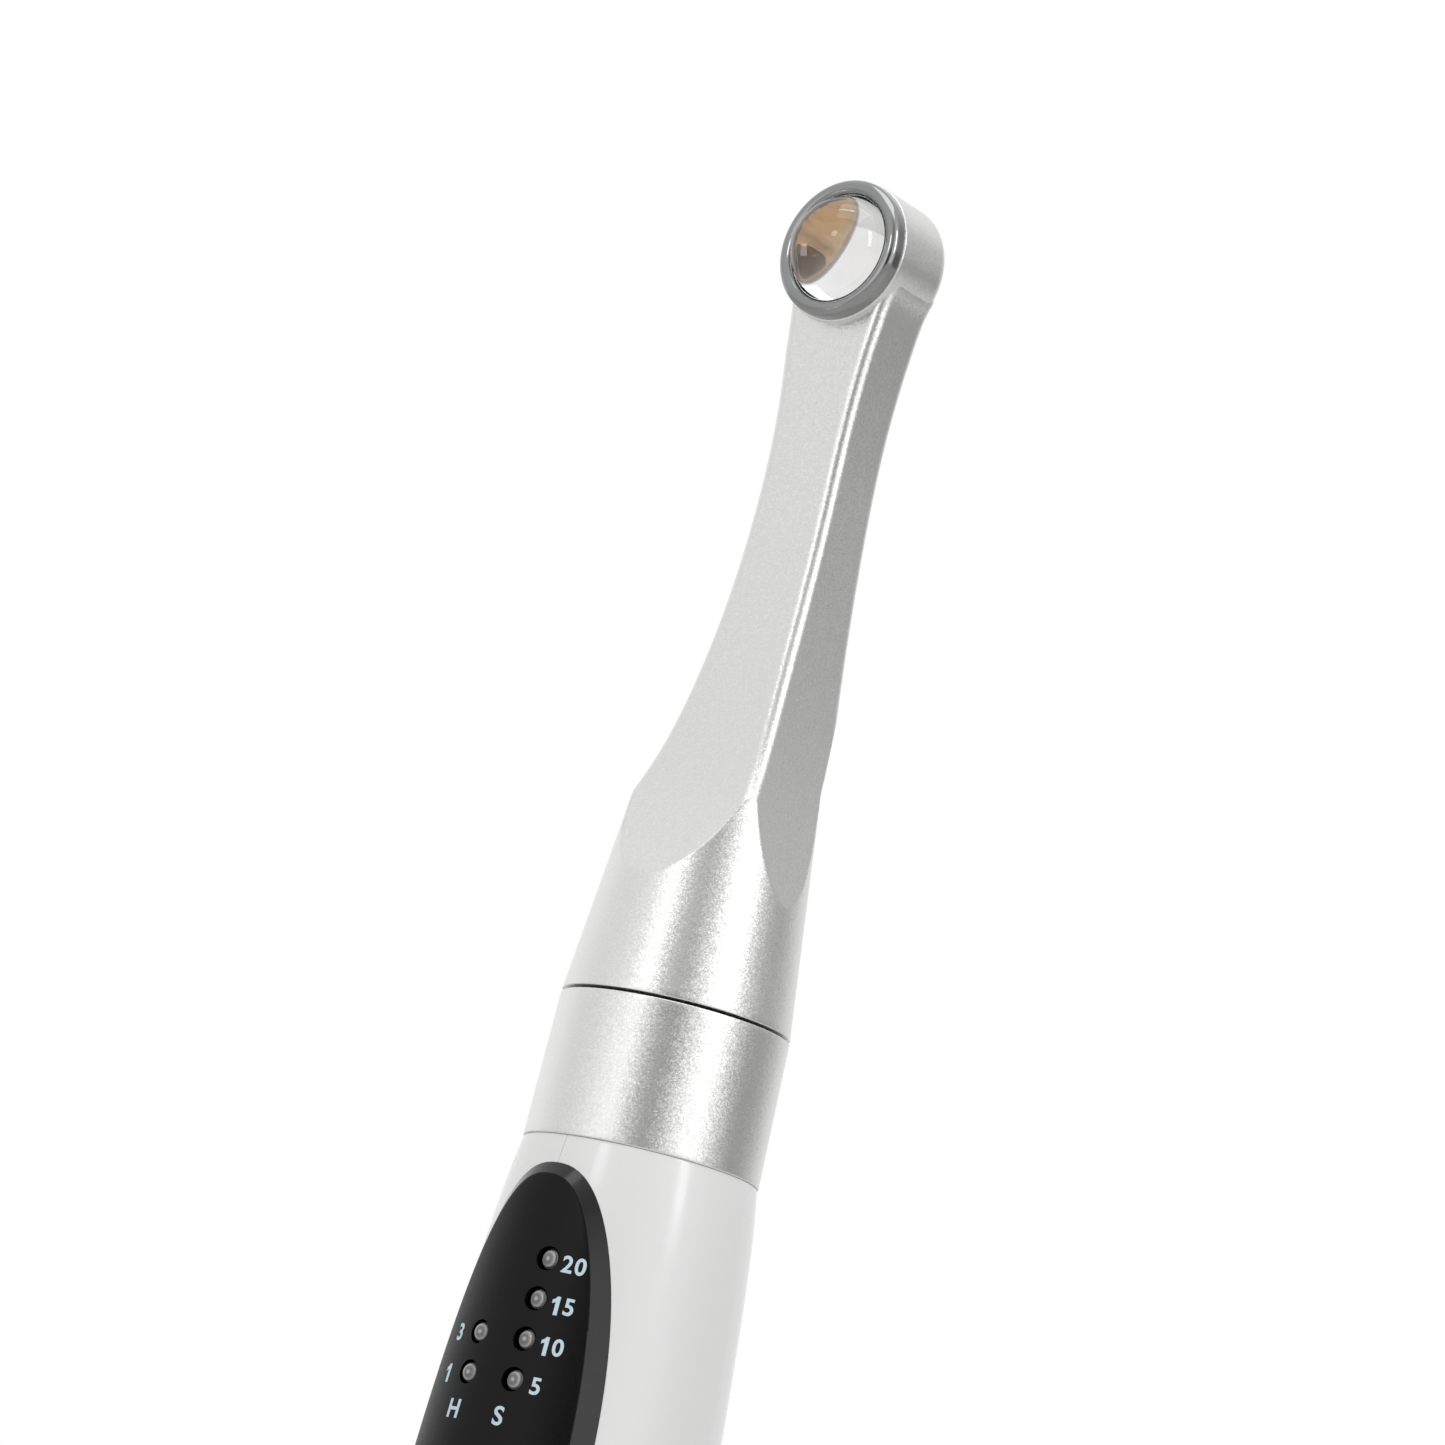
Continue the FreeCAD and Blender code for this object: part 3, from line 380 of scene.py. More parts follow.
# %% Inside finishes
INSIDE = {
    "black_rubber": ("#17181A", 0.6, 0.4, 0.004, 0.0),         # nitrile rubber, moulded
    "gold_die": ("#E8A93C", 0.25, 0.2, 0.001, 1.0),            # gold contact metal on the chips
    "white_board": ("#C98B3C", 0.35, 0.5, 0.001, 0.6),         # gilded pads of the lamp's board
    "white_ceramic": ("#D9A24A", 0.3, 0.3, 0.001, 0.7),        # gilded ceramic of the lamp
    "copper": ("#C77B52", 0.3, 0.8, 0.002, 1.0),               # rolled copper
    "wire_insulation": ("#B3262B", 0.4, 0.6, 0.002, 0.0),      # PVC sheath
    "steel": ("#A9ABAD", 0.25, 0.5, 0.002, 1.0),               # turned stainless steel
    "spring_steel": ("#8E9196", 0.3, 0.4, 0.002, 1.0),         # drawn and tempered
    "dark_polymer": ("#141416", 0.45, 0.3, 0.003, 0.0),        # acetal, machined
    "gold_contact": ("#D9A94B", 0.2, 0.5, 0.001, 1.0),         # gold plate on brass
    "grey_nylon": ("#5D6166", 0.5, 0.4, 0.004, 0.0),           # glass-filled nylon
    "green_board": ("#1E5A3A", 0.35, 0.5, 0.003, 0.0),         # solder mask on glass fibre
    "lamp_body": ("#D8DCD9", 0.3, 0.3, 0.001, 0.0),            # white indicator lamps
    "switch_body": ("#2A2B2D", 0.4, 0.3, 0.002, 0.0),          # moulded switches
    "chip_resin": ("#101112", 0.5, 0.15, 0.003, 0.0),          # moulded epoxy
    "ferrite": ("#2E2D2C", 0.6, 0.2, 0.006, 0.0),              # sintered ferrite
    "cell_wrap": ("#2C6FA8", 0.3, 1.5, 0.002, 0.0),            # heat-shrunk film
}
FINISHES = {slot: grained(slot, linear(c), r, g, d, metallic=m)
            for slot, (c, r, g, d, m) in INSIDE.items()}
# The reflector is spun and hammered, so that it mixes the light of the four chips.
FINISHES["mirror_aluminium"] = grained("hammered_reflector", linear("#C9A26E"), 0.07, 0.9, 0.06,
                                       metallic=1.0, spread=0.45)
FINISHES.update(blasted_aluminium=aluminium, polished_chrome=dark_nickel, white_abs=white_abs,
                black_panel=black_face, key_rubber=key_rubber)
print("finishes:", len(FINISHES))

# %% [markdown]
# ## Lens glass and light pipes
# The lens is pressed optical glass, polished clear. The indicator pipes are clear acrylic. The
# little lamp at their foot is painted on their domed ends as grey bands round a dot: the bright
# dot and the bright bands are painted highlights, the dark bands painted shade.

# %% Clear finishes


def optical_glass():
    """Clear glass with the faintest smear on its polish."""
    finish, tree = new_finish("pressed_optical_glass")
    spot = add(tree, "TexCoord")
    smear = add(tree, "TexNoise", {"Scale": 1 / (1.5 * MM)}, {"Vector": (spot, "Object")})
    rough = add(tree, "MapRange", {"From Min": 0.55, "From Max": 0.8, "To Min": 0.0,
                                   "To Max": 0.02}, {"Value": (smear, 0)})
    glass = add(tree, "BsdfPrincipled", {"Base Color": (1, 1, 1, 1), "IOR": 1.52,
                                         "Transmission Weight": 1.0}, {"Roughness": (rough, 0)})
    add(tree, "OutputMaterial", {}, {"Surface": (glass, 0)})
    return finish


def acrylic_pipe():
    """Reads the attribute 'reach', 0 on a pipe's axis and 1 at its wall, and by it paints the lamp
    below as grey bands round a dot, with painted highlights and painted shade.
    """
    finish, tree = new_finish("clear_acrylic_painted_rings")
    reach = add(tree, "Attribute", {"attribute_name": "reach"})
    # Painted light: the bright middle and the bright bands are painted highlights and the dark
    # bands are painted shade. Together they are the painted image of the lamp below.
    painted_lamp_rings = ramp(tree, [(0.0, grey(0.60)), (0.18, grey(0.42)), (0.30, grey(0.14)),
                        (0.55, grey(0.22)), (0.72, grey(0.50)), (0.80, grey(0.28)),
                        (0.90, grey(0.06)), (0.97, grey(0.32)), (1.0, grey(0.05))],
                 {"Fac": (reach, "Fac")})
    spot = add(tree, "TexCoord")
    cloud = add(tree, "TexNoise", {"Scale": 1 / (0.3 * MM)}, {"Vector": (spot, "Object")})
    tone = add(tree, "Mix", {"data_type": "RGBA", "blend_type": "MULTIPLY", 0: 0.4},
               {6: (painted_lamp_rings, 0), 7: (cloud, 0)})
    plastic = add(tree, "BsdfPrincipled", {"Roughness": 0.06, "IOR": 1.49, "Coat Weight": 0.6,
                                           "Coat Roughness": 0.03}, {"Base Color": (tone, 2)})
    add(tree, "OutputMaterial", {}, {"Surface": (plastic, 0)})
    return finish


FINISHES["clear_lens"] = optical_glass()
FINISHES["clear_pipe"] = acrylic_pipe()
print("finishes with the clear ones:", len(FINISHES))

# %% [markdown]
# ## Dress the CAD nodes
# Each node that stays as CAD made it takes the finish of its slot. The surfaces that show get a
# finer skin of their own further down, because loose triangles shade in facets.

# %% Finishes on the nodes
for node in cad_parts.values():
    slot_name = node.data.materials[0].name.split(".")[0]
    node.material_slots[0].material = FINISHES[slot_name]
print("nodes dressed:", len(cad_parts))

# %% [markdown]
# ## Surfaces turned about an axis
# Bezel, lens, keys and cap are all round. Each is a profile of radius and depth turned about an
# axis: the point at angle t is (radius cos t, radius sin t) across the axis and depth along it.

# %% Turning


def turned(profile, about="y", x0=0.0, z0=0.0, steps=96):
    """Grid of a profile (radius, depth) in mm turned about an axis through (x0, z0)."""
    t = np.linspace(0, 2 * np.pi, steps + 1)[None, :]
    r, d = profile[:, :1], profile[:, 1:]
    a, b, c = r * np.cos(t), r * np.sin(t), d + 0 * t
    if about == "y":
        return np.stack([x0 + a, c, z0 + b], -1) * MM
    return np.stack([x0 + a, b, c], -1) * MM


def quarter(centre, radii, a0, a1, steps=12):
    """Elliptic arc of a profile between two angles in degrees."""
    t = np.radians(np.linspace(a0, a1, steps + 1))
    return np.stack([centre[0] + radii[0] * np.cos(t), centre[1] + radii[1] * np.sin(t)], -1)


lens_low, lens_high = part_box("lens")
LENS_Z = (lens_low.z + lens_high.z) / 2 / MM
print("lens axis height, mm:", round(LENS_Z, 2))

# %% [markdown]
# ## Collar
# The collar is a short turned tube. Both of its edges are broken with a tiny round, because an
# edge without one never catches the light.

# %% Collar
EDGE = 0.12              # mm, the broken edge of a turned part


def edge_drop(distance, r):
    """How far a rounded edge falls below the surface at a distance from it."""
    inside = np.clip(1 - distance / r, 0, 1)
    return r * (1 - np.sqrt(1 - inside ** 2))


collar_low, collar_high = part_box("collar")
SKIRT_LEN = 6.0          # mm, hidden inside the housing
COLLAR_TOP, COLLAR_FOOT = collar_high.z / MM, collar_low.z / MM + SKIRT_LEN
COLLAR_TOP_R, COLLAR_FOOT_R, SKIRT_R, BUSH_R = 10.4, 10.66, 9.3, 8.6
EDGE_ROWS = np.array([0, 0.03, 0.07, EDGE])
collar_len = COLLAR_TOP - COLLAR_FOOT
rise = np.concatenate([EDGE_ROWS, np.linspace(0.5, collar_len - 0.5, 20),
                       collar_len - EDGE_ROWS[::-1]])
wall = COLLAR_FOOT_R + (COLLAR_TOP_R - COLLAR_FOOT_R) * rise / rise[-1]
wall = wall - edge_drop(np.minimum(rise, rise[-1] - rise), EDGE)
collar_profile = np.concatenate([
    [(SKIRT_R, COLLAR_FOOT)], np.stack([wall, COLLAR_FOOT + rise], -1),
    [(BUSH_R, COLLAR_TOP), (BUSH_R, COLLAR_FOOT - SKIRT_LEN),
     (SKIRT_R, COLLAR_FOOT - SKIRT_LEN), (SKIRT_R, COLLAR_FOOT)]])
dress(piece_from("collar_ring", [turned(collar_profile, about="z", steps=192)]), "handle",
      "blasted_aluminium", aluminium, "collar")

# %% [markdown]
# ## Neck of the head
# The head starts as a turned cone. Four long flats are milled into it and turn it into a slim
# neck with soft corners. At every height the section is the smaller of two shapes: the circle of
# the cone, and a rectangle with round corners between the flats. Rays from the middle of the
# section find both, so one formula draws the cone, the flats and the crisp line between them.

# %% Neck curves
head_low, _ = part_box("head_shell")
SEAM = head_low.z / MM
HEAD_R, HEAD_FRONT_Y, HEAD_BACK_Y = 6.75, -1.9, 5.2
CONE_R, CONE_TOP_R, CONE_TOP_UP = 10.38, 8.0, 22.5
FLAT_UP, FLAT_R, NECK_ROUND = 10.6, 9.3, 1.1
SIDE_END, FACE_END = 69.0, 62.0      # above these heights the neck runs straight
FAR = 20.0                           # outside the cone, so that no flat cuts there


def through(places):
    """Natural cubic spline through (x, y) places: on each span the second slope runs straight
    between its values at the ends, which are solved so that the slopes join."""
    x, y = np.array(places, float).T
    n, h = len(x), np.diff(x)
    system, right = np.eye(n), np.zeros(n)
    for i in range(1, n - 1):
        system[i, i - 1:i + 2] = h[i - 1], 2 * (h[i - 1] + h[i]), h[i]
        right[i] = 6 * ((y[i + 1] - y[i]) / h[i] - (y[i] - y[i - 1]) / h[i - 1])
    m = np.linalg.solve(system, right)

    def at(q):
        i = np.clip(np.searchsorted(x, q) - 1, 0, n - 2)
        a, b = x[i + 1] - q, q - x[i]
        return ((m[i] * a ** 3 + m[i + 1] * b ** 3) / (6 * h[i])
                + (y[i] / h[i] - m[i] * h[i] / 6) * a + (y[i + 1] / h[i] - m[i + 1] * h[i] / 6) * b)
    return at


flat_start = (FLAT_UP, FLAT_R)
side_of = through([flat_start, (20, 6.85), (30, 5.31), (46, 4.42), (58, 4.59), (64, 5.2),
                   (66.5, HEAD_R - 1.23), (68, HEAD_R - 0.89), (SIDE_END, HEAD_R - 0.52)])
front_of = through([flat_start, (20, 4.98), (30, 2.63), (46, 1.12), (FACE_END, 1.5)])
back_of = through([flat_start, (20, 7.35), (32, 6.55), (46, 5.8), (FACE_END, 5.2)])
for up in (12, 30, 50):
    print("neck at", up, "half width", round(float(side_of(up)), 2), "front",
          round(float(front_of(up)), 2), "back", round(float(back_of(up)), 2))

# %% [markdown]
# ## Surface of the neck
# The grid has one row for each height and one column for each direction. A loft through a few
# drawn sections could make it too, but the line where the flats cut the cone would come out
# soft. Here the rows stand closer together at that line. The last rows bend round the lamp, so
# the neck ends inside it.

# %% Neck surface


def neck_section(up, t):
    """Point of the section at a height above the seam for the direction t: the nearer of the
    cone's circle and the rectangle with round corners, along a ray from the middle."""
    flat = up >= FLAT_UP
    w = np.where(flat, side_of(np.minimum(up, SIDE_END)), FAR)
    f = np.where(flat, front_of(np.minimum(up, FACE_END)), FAR)
    b = np.where(flat, back_of(np.minimum(up, FACE_END)), FAR)
    h, middle = (f + b) / 2, (b - f) / 2
    ux, uy = w * np.cos(t), h * np.sin(t)
    size = np.hypot(ux, uy)
    ux, uy = ux / size, uy / size
    box = np.minimum(w / np.maximum(np.abs(ux), 1e-9), h / np.maximum(np.abs(uy), 1e-9))
    cx, cy = w - NECK_ROUND, h - NECK_ROUND
    in_corner = (np.abs(box * ux) > cx) & (np.abs(box * uy) > cy)
    dot = np.abs(ux) * cx + np.abs(uy) * cy
    corner = dot + np.sqrt(np.maximum(dot ** 2 - cx ** 2 - cy ** 2 + NECK_ROUND ** 2, 0))
    box = np.where(in_corner, corner, box)
    cone_r = CONE_R + (CONE_TOP_R - CONE_R) * np.minimum(up / CONE_TOP_UP, 1)
    cone_r = cone_r - edge_drop(up, EDGE)
    cone = -uy * middle + np.sqrt((uy * middle) ** 2 - middle ** 2 + cone_r ** 2)
    r = np.minimum(box, cone)
    return r * ux, middle + r * uy


NECK_TOP = 64.0          # above this height the rows bend round the lamp
SEAT_DEPTH = 0.35        # how deep the neck ends inside the lamp
SEAT_MIDDLE = 2.0        # depth where the last rows close


def neck_grid():
    """Rows up the cone and the neck; the last rows bend round the lamp and close under it."""
    t = np.linspace(0, 2 * np.pi, 321)[None, :]
    up = np.concatenate([EDGE_ROWS, np.linspace(0.6, 9.6, 14), np.linspace(9.8, 23, 90),
                         np.linspace(23.4, NECK_TOP, 88)])[:, None] + 0 * t
    x, y = neck_section(up, t)
    seat_r = HEAD_R - SEAT_DEPTH
    top_x, _ = neck_section(np.full_like(t, SIDE_END), t)
    seat = LENS_Z - SEAM - np.sqrt(np.maximum(seat_r ** 2 - top_x ** 2, 0))
    last = NECK_TOP + (seat - NECK_TOP) * np.linspace(0, 1, 10)[1:, None]
    last_x, last_y = neck_section(last, t)
    shrink = np.linspace(1, 0, 8)[1:, None]
    cap_x, cap_y = last_x[-1] * shrink, SEAT_MIDDLE + (last_y[-1] - SEAT_MIDDLE) * shrink
    cap = LENS_Z - SEAM - np.sqrt(np.maximum(seat_r ** 2 - cap_x ** 2, 0))
    foot = np.zeros_like(t)
    x = np.concatenate([foot, x, last_x, cap_x])
    y = np.concatenate([foot, y, last_y, cap_y])
    up = np.concatenate([foot, up, last, cap])
    return np.stack([x, y, SEAM + up], -1) * MM


# %% [markdown]
# ## Lamp housing on the neck
# The round head is a turned cup about the lens axis, with a rounded back and the stepped bore
# that takes bezel, lens and lamp. It joins the neck in one casting.

# %% Head
BACK_ROUND = 1.4
SPIGOT_SEAT_R, SPIGOT_END_Y = 6.1, -0.6     # bore for the bezel
CAVITY_R, CAVITY_END_Y = 5.65, 2.6          # bore for lens and lamp
lamp_cup = np.concatenate([
    [(0, HEAD_BACK_Y)],
    quarter((HEAD_R - BACK_ROUND, HEAD_BACK_Y - BACK_ROUND), (BACK_ROUND, BACK_ROUND), 90, 0, 14),
    [(HEAD_R, y) for y in np.linspace(3.0, HEAD_FRONT_Y + 0.15, 8)],
    quarter((HEAD_R - EDGE, HEAD_FRONT_Y + EDGE), (EDGE, -EDGE), 0, 90, 4),
    [(SPIGOT_SEAT_R, HEAD_FRONT_Y), (SPIGOT_SEAT_R, SPIGOT_END_Y), (CAVITY_R, SPIGOT_END_Y),
     (CAVITY_R, CAVITY_END_Y), (0, CAVITY_END_Y)]])
dress(piece_from("head_casting", [neck_grid(), turned(lamp_cup, z0=LENS_Z, steps=192)],
                 sharp=30), "head", "blasted_aluminium", aluminium, "head_shell")

# %% [markdown]
# ## Bezel
# The ring that clamps the lens is turned brass, polished and plated. Its crest is a smooth round,
# so it is drawn with two elliptic arcs that share a level tangent at the top.

# %% Bezel
BEZEL_R, CREST_R, LIP_R, SPIGOT_R = 6.6, 5.85, 5.1, 6.05
SEAT_Y, SHOULDER_Y, CREST_Y, LIP_Y, LEDGE_Y = -1.9, -2.6, -3.4, -2.9, -2.55
bezel_profile = np.concatenate([
    [(BEZEL_R, SEAT_Y)],
    quarter((CREST_R, SHOULDER_Y), (BEZEL_R - CREST_R, CREST_Y - SHOULDER_Y), 0, 90),
    quarter((CREST_R, LIP_Y), (LIP_R - CREST_R, CREST_Y - LIP_Y), 90, 0),
    [(LIP_R, LEDGE_Y), (CAVITY_R, LEDGE_Y), (CAVITY_R, SPIGOT_END_Y), (SPIGOT_R, SPIGOT_END_Y),
     (SPIGOT_R, SEAT_Y), (BEZEL_R, SEAT_Y)]])
dress(piece_from("bezel_ring", [turned(bezel_profile, z0=LENS_Z, steps=160)]), "head",
      "polished_chrome", dark_nickel, "lens_bezel")

# %% [markdown]
# ## Lens
# A single pressed lens: a flat back, a flange that the bezel holds, and a high dome that bends
# the light of the chips into a narrow beam. Turned from one closed profile, its walls are smooth
# enough for real refraction.

# %% Lens
LENS_BACK_Y, LENS_FLANGE_Y, FLANGE_R = -1.6, -2.3, 5.6
DOME_R = 4.95
DOME_TOP_Y = lens_low.y / MM
lens_profile = np.concatenate([
    [(0, LENS_BACK_Y), (FLANGE_R, LENS_BACK_Y), (FLANGE_R, LENS_FLANGE_Y)],
    quarter((0, LENS_FLANGE_Y), (DOME_R, DOME_TOP_Y - LENS_FLANGE_Y), 0, 90, 40)])
dress(piece_from("dome_lens", [turned(lens_profile, z0=LENS_Z, steps=160)]), "head",
      "clear_lens", FINISHES["clear_lens"], "lens")

# %% [markdown]
# ## The housing's radius
# Everything on the handle sits on the housing, so its outer radius is measured once from the CAD
# halves, by shooting rays at it from the side, and smoothed with a polynomial.

# %% Housing radius
right_low, right_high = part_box("housing_right")
HOUSING_LOW, HOUSING_HIGH = right_low.z / MM, right_high.z / MM
skin = BVHTree.FromObject(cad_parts["housing_right"], bpy.context.evaluated_depsgraph_get())
heights = np.linspace(HOUSING_LOW + 0.2, HOUSING_HIGH - 0.2, 90)
radii = np.array([skin.ray_cast(Vector((0.05, 0.0003, z * MM)), Vector((-1, 0, 0)))[0].x / MM
                  for z in heights])
middle_z, half_z = (HOUSING_LOW + HOUSING_HIGH) / 2, (HOUSING_HIGH - HOUSING_LOW) / 2
housing_fit = np.polynomial.Polynomial.fit((heights - middle_z) / half_z, radii, 9)


def housing_r(z):
    """Outer radius of the housing at a height, mm."""
    return housing_fit((z - middle_z) / half_z)


print("housing fit, worst miss mm:", round(float(np.abs(housing_r(heights) - radii).max()), 4))

# %% [markdown]
# ## Control panel
# A black oval shell lies on the front of the handle. Its outline is a superellipse, its satin
# face follows the round of the handle, and a polished bevel falls from it to the white. On the
# round sides the bevel is about 2 mm wide. It is straight across, so it catches a whole softbox
# at once. The grid runs from the outline up the bevel and then shrinks to the middle.

# %% Panel shape
panel_low, panel_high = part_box("control_panel")
PANEL_W = panel_high.x / MM
PANEL_MID = (panel_low.z + panel_high.z) / 2 / MM
PANEL_L = (panel_high.z - panel_low.z) / 2 / MM
PANEL_POWER = 2.4
PANEL_PROUD, RIM_WIDTH = 0.65, 1.15
PANEL_SHARP = 24         # degrees, edges steeper than this stay crisp


def panel_outline(t):
    """Superellipse: the coordinates are the cosine and sine of t to the power 2/2.4."""
    c, s = np.cos(t), np.sin(t)
    power = 2 / PANEL_POWER
    return np.stack([PANEL_W * np.sign(c) * np.abs(c) ** power,
                     PANEL_L * np.sign(s) * np.abs(s) ** power], -1)


def even_outline(count):
    """The outline's points at even spacing, and their inward normals."""
    fine = panel_outline(np.linspace(0, 2 * np.pi, 20001))
    run = np.concatenate([[0], np.cumsum(np.hypot(*np.diff(fine, axis=0).T))])
    even = np.linspace(0, run[-1], count + 1)
    points = np.stack([np.interp(even, run, fine[:, i]) for i in (0, 1)], -1)
    along = np.roll(points[:-1], -1, 0) - np.roll(points[:-1], 1, 0)
    along = np.concatenate([along, along[:1]])
    normal = np.stack([-along[:, 1], along[:, 0]], -1)
    return points, normal / np.linalg.norm(normal, axis=1, keepdims=True)


def on_handle(x, z, lift):
    """Point on the front of the housing's skin, lifted by an amount, in metres."""
    reach = housing_r(z) + lift
    return np.stack([x, -np.sqrt(reach ** 2 - x ** 2), z], -1) * MM


def panel_grid(edge_lift, face_lift):
    """Rows run inwards: a straight bevel from the outline (edge lift) to the face (face lift),
    rounded a little where they meet, and then the face, which shrinks to the middle."""
    points, normal = even_outline(240)
    inner = points + normal * RIM_WIDTH
    low = on_handle(points[:, 0], PANEL_MID + points[:, 1], edge_lift)
    high = on_handle(inner[:, 0], PANEL_MID + inner[:, 1], face_lift)
    share = np.array([0, 0.01, 0.04, 0.25, 0.5, 0.75, 0.93, 0.97])[:, None, None]
    bevel = low[None] + (high - low)[None] * share
    face = inner[None] * np.concatenate([[0.995], np.linspace(0.98, 0, 24)])[:, None, None]
    return np.concatenate([bevel, on_handle(face[..., 0], PANEL_MID + face[..., 1], face_lift)])


EDGE_LIFT, UNDER_LIFT, SUNK_LIFT = 0.04, -0.06, -0.8
top, under = panel_grid(EDGE_LIFT, PANEL_PROUD), panel_grid(UNDER_LIFT, SUNK_LIFT)
panel = piece_from("panel_shell", [top, under, np.stack([top[0], under[0]])],
                   sharp=PANEL_SHARP)
print("panel length and width, mm:", round(2 * PANEL_L, 1), round(2 * PANEL_W, 1))

# %% [markdown]
# ## Holes in the panel
# Each indicator and key comes through a clean round hole. The cutters are turned surfaces too,
# joined in one object, and a Boolean takes them out of the shell once and for all.

# %% Panel holes
COLUMN_X, ROW_TOP, ROW_PITCH = 2.55, 156.9, 3.6
PIPES = [(COLUMN_X, ROW_TOP - ROW_PITCH * row) for row in (0, 1, 2, 3)]
PIPES += [(-COLUMN_X, ROW_TOP - ROW_PITCH * row) for row in (2, 3)]
PIPE_R, PIPE_HOLE_R = 0.88, 1.08
KEYS = {"power_button": ("power_key", 0.0, 117.5, 4.2),
        "mode_button": ("mode_key", -COLUMN_X, 137.0, 2.05),
        "time_button": ("time_key", COLUMN_X, 137.0, 2.05)}
KEY_GAP = 0.15
BORE_Y = (-20.0, -5.0)   # the cutters reach right through the panel


def bore(x, z, r, steps):
    """Cylinder of radius r through the front of the handle, about an axis along y."""
    profile = np.array([(0, BORE_Y[0]), (r, BORE_Y[0]), (r, BORE_Y[1]), (0, BORE_Y[1])])
    return turned(profile, x0=x, z0=z, steps=steps)


def frozen(item):
    """Mesh of an object with its modifiers, or its curve, worked out."""
    return bpy.data.meshes.new_from_object(
        item.evaluated_get(bpy.context.evaluated_depsgraph_get()))


cutter = piece_from("panel_bores", [bore(x, z, PIPE_HOLE_R, 48) for x, z in PIPES]
                    + [bore(x, z, r + KEY_GAP, 96) for _, x, z, r in KEYS.values()])


def rim_faces(mesh):
    """Second finish on the rim: faces whose middle lies inside the rim's width."""
    count = len(mesh.polygons)
    centre = np.empty(count * 3, np.float32)
    mesh.polygons.foreach_get("center", centre)
    centre = centre.reshape(-1, 3) / MM
    flat = np.abs(np.stack([centre[:, 0], centre[:, 2] - PANEL_MID], -1))
    size = np.array([PANEL_W - RIM_WIDTH, PANEL_L - RIM_WIDTH])
    outside = ((flat / size) ** PANEL_POWER).sum(1) > 1.0
    mesh.polygons.foreach_set("material_index", outside.astype(np.int32))


panel.data.materials.append(black_face)
panel.data.materials.append(black_rim)
cutter.data.materials.append(black_face)
holes = panel.modifiers.new("holes", "BOOLEAN")
holes.object, holes.operation, holes.solver = cutter, "DIFFERENCE", "EXACT"
cut = frozen(panel)
panel.modifiers.clear()
panel.data = cut
rim_faces(cut)
soften(cut, PANEL_SHARP)
bpy.data.objects.remove(cutter)
dress(panel, "handle", "black_panel", None, "control_panel")

# %% [markdown]
# ## Housing halves
# The handle is moulded in two halves that meet along the front and back. Each outer edge of the
# joint is a little rounded, which draws the fine line seen on real mouldings. In a half, the
# angle runs from the joint, or from the panel's edge where the panel lies, round to the back.

# %% Housing halves
WALL, JOINT_ROUND, PANEL_COVER = 1.8, 0.10, 0.9


def housing_rows():
    """Heights, closer together near the panel's tips and the housing's ends."""
    reach = PANEL_L - PANEL_COVER
    panel_part = PANEL_MID + reach * np.cos(np.linspace(np.pi, 0, 90))
    ends = np.array([0, 0.04, 0.12, 0.3])
    below = np.linspace(HOUSING_LOW + 1, PANEL_MID - reach - 0.3, 40)
    above = np.linspace(PANEL_MID + reach + 0.1, HOUSING_HIGH - 0.6, 8)
    return np.concatenate([HOUSING_LOW + ends, below, panel_part, above,
                           HOUSING_HIGH - ends[::-1]])


def closed(outer, inner):
    """Two grids of the same shape and the four strips that join their edges."""
    return [outer, inner, np.stack([outer[0], inner[0]]), np.stack([outer[-1], inner[-1]]),
            np.stack([outer[:, 0], inner[:, 0]]), np.stack([outer[:, -1], inner[:, -1]])]


def housing_half(side):
    """At the angle a from the front a point is (side r sin a, -r cos a, z). The outer radius
    drops at the rounded edges, and the inner one is less by the wall."""
    z = housing_rows()[:, None]
    r = housing_r(z)
    along = np.clip(np.abs((z - PANEL_MID) / (PANEL_L - PANEL_COVER)), 0, 1)
    half_width = (PANEL_W - PANEL_COVER) * (1 - along ** PANEL_POWER) ** (1 / PANEL_POWER)
    start = np.arcsin(np.clip(half_width / r, 0, 0.999))
    # Shares of the arc, close together at the joint because its edge is rounded.
    near = np.array([0, 0.02, 0.05, 0.1, 0.2]) / 12
    share = np.concatenate([near, np.linspace(0.03, 0.97, 60), 1 - near[::-1] / 3])[None, :]
    angle = start + (np.pi - start) * share
    open_front = half_width < 0.01
    from_joint = np.minimum(np.where(open_front, angle, 9.0), np.pi - angle) * r
    from_end = np.minimum(z - HOUSING_LOW, HOUSING_HIGH - z)
    outer_r = r - edge_drop(from_joint, JOINT_ROUND) - edge_drop(from_end, EDGE)
    return closed(*[
        np.stack([side * q * np.sin(angle), -q * np.cos(angle), z + 0 * angle], -1) * MM
        for q in (outer_r, r - WALL + 0 * angle)])


for side, label in ((-1, "left"), (1, "right")):
    dress(piece_from(f"handle_half_{label}", housing_half(side)), "handle", "white_abs",
          white_abs, f"housing_{label}")

# %% [markdown]
# ## Indicator pipes
# Six clear pipes end in shallow domes just under the panel's face. All are one surface turned
# about six axes, and an attribute stores how far each point is from its own axis. The pipe finish
# uses that distance to paint the lamp's image, its highlights and its shade.

# %% Indicator pipes
PIPE_BELOW, PIPE_FOOT_Y = 0.02, -7.6
DOME_SHARE = 0.5         # dome height over its radius


def pipe_grid(x, z):
    """Rows from the crest of the dome, over its edge, down the stem to the foot."""
    crest = on_handle(np.array(x), np.array(z), PANEL_PROUD)[1] / MM + PIPE_BELOW
    dome = quarter((0, crest + PIPE_R * DOME_SHARE), (PIPE_R, -PIPE_R * DOME_SHARE), 90, 0, 14)
    return turned(np.concatenate([dome, [(PIPE_R, PIPE_FOOT_Y), (0, PIPE_FOOT_Y)]]),
                  x0=x, z0=z, steps=40)


def points_of(mesh):
    """The mesh's points as rows of x, y and z."""
    co = np.empty(len(mesh.vertices) * 3, np.float32)
    mesh.vertices.foreach_get("co", co)
    return co.reshape(-1, 3)


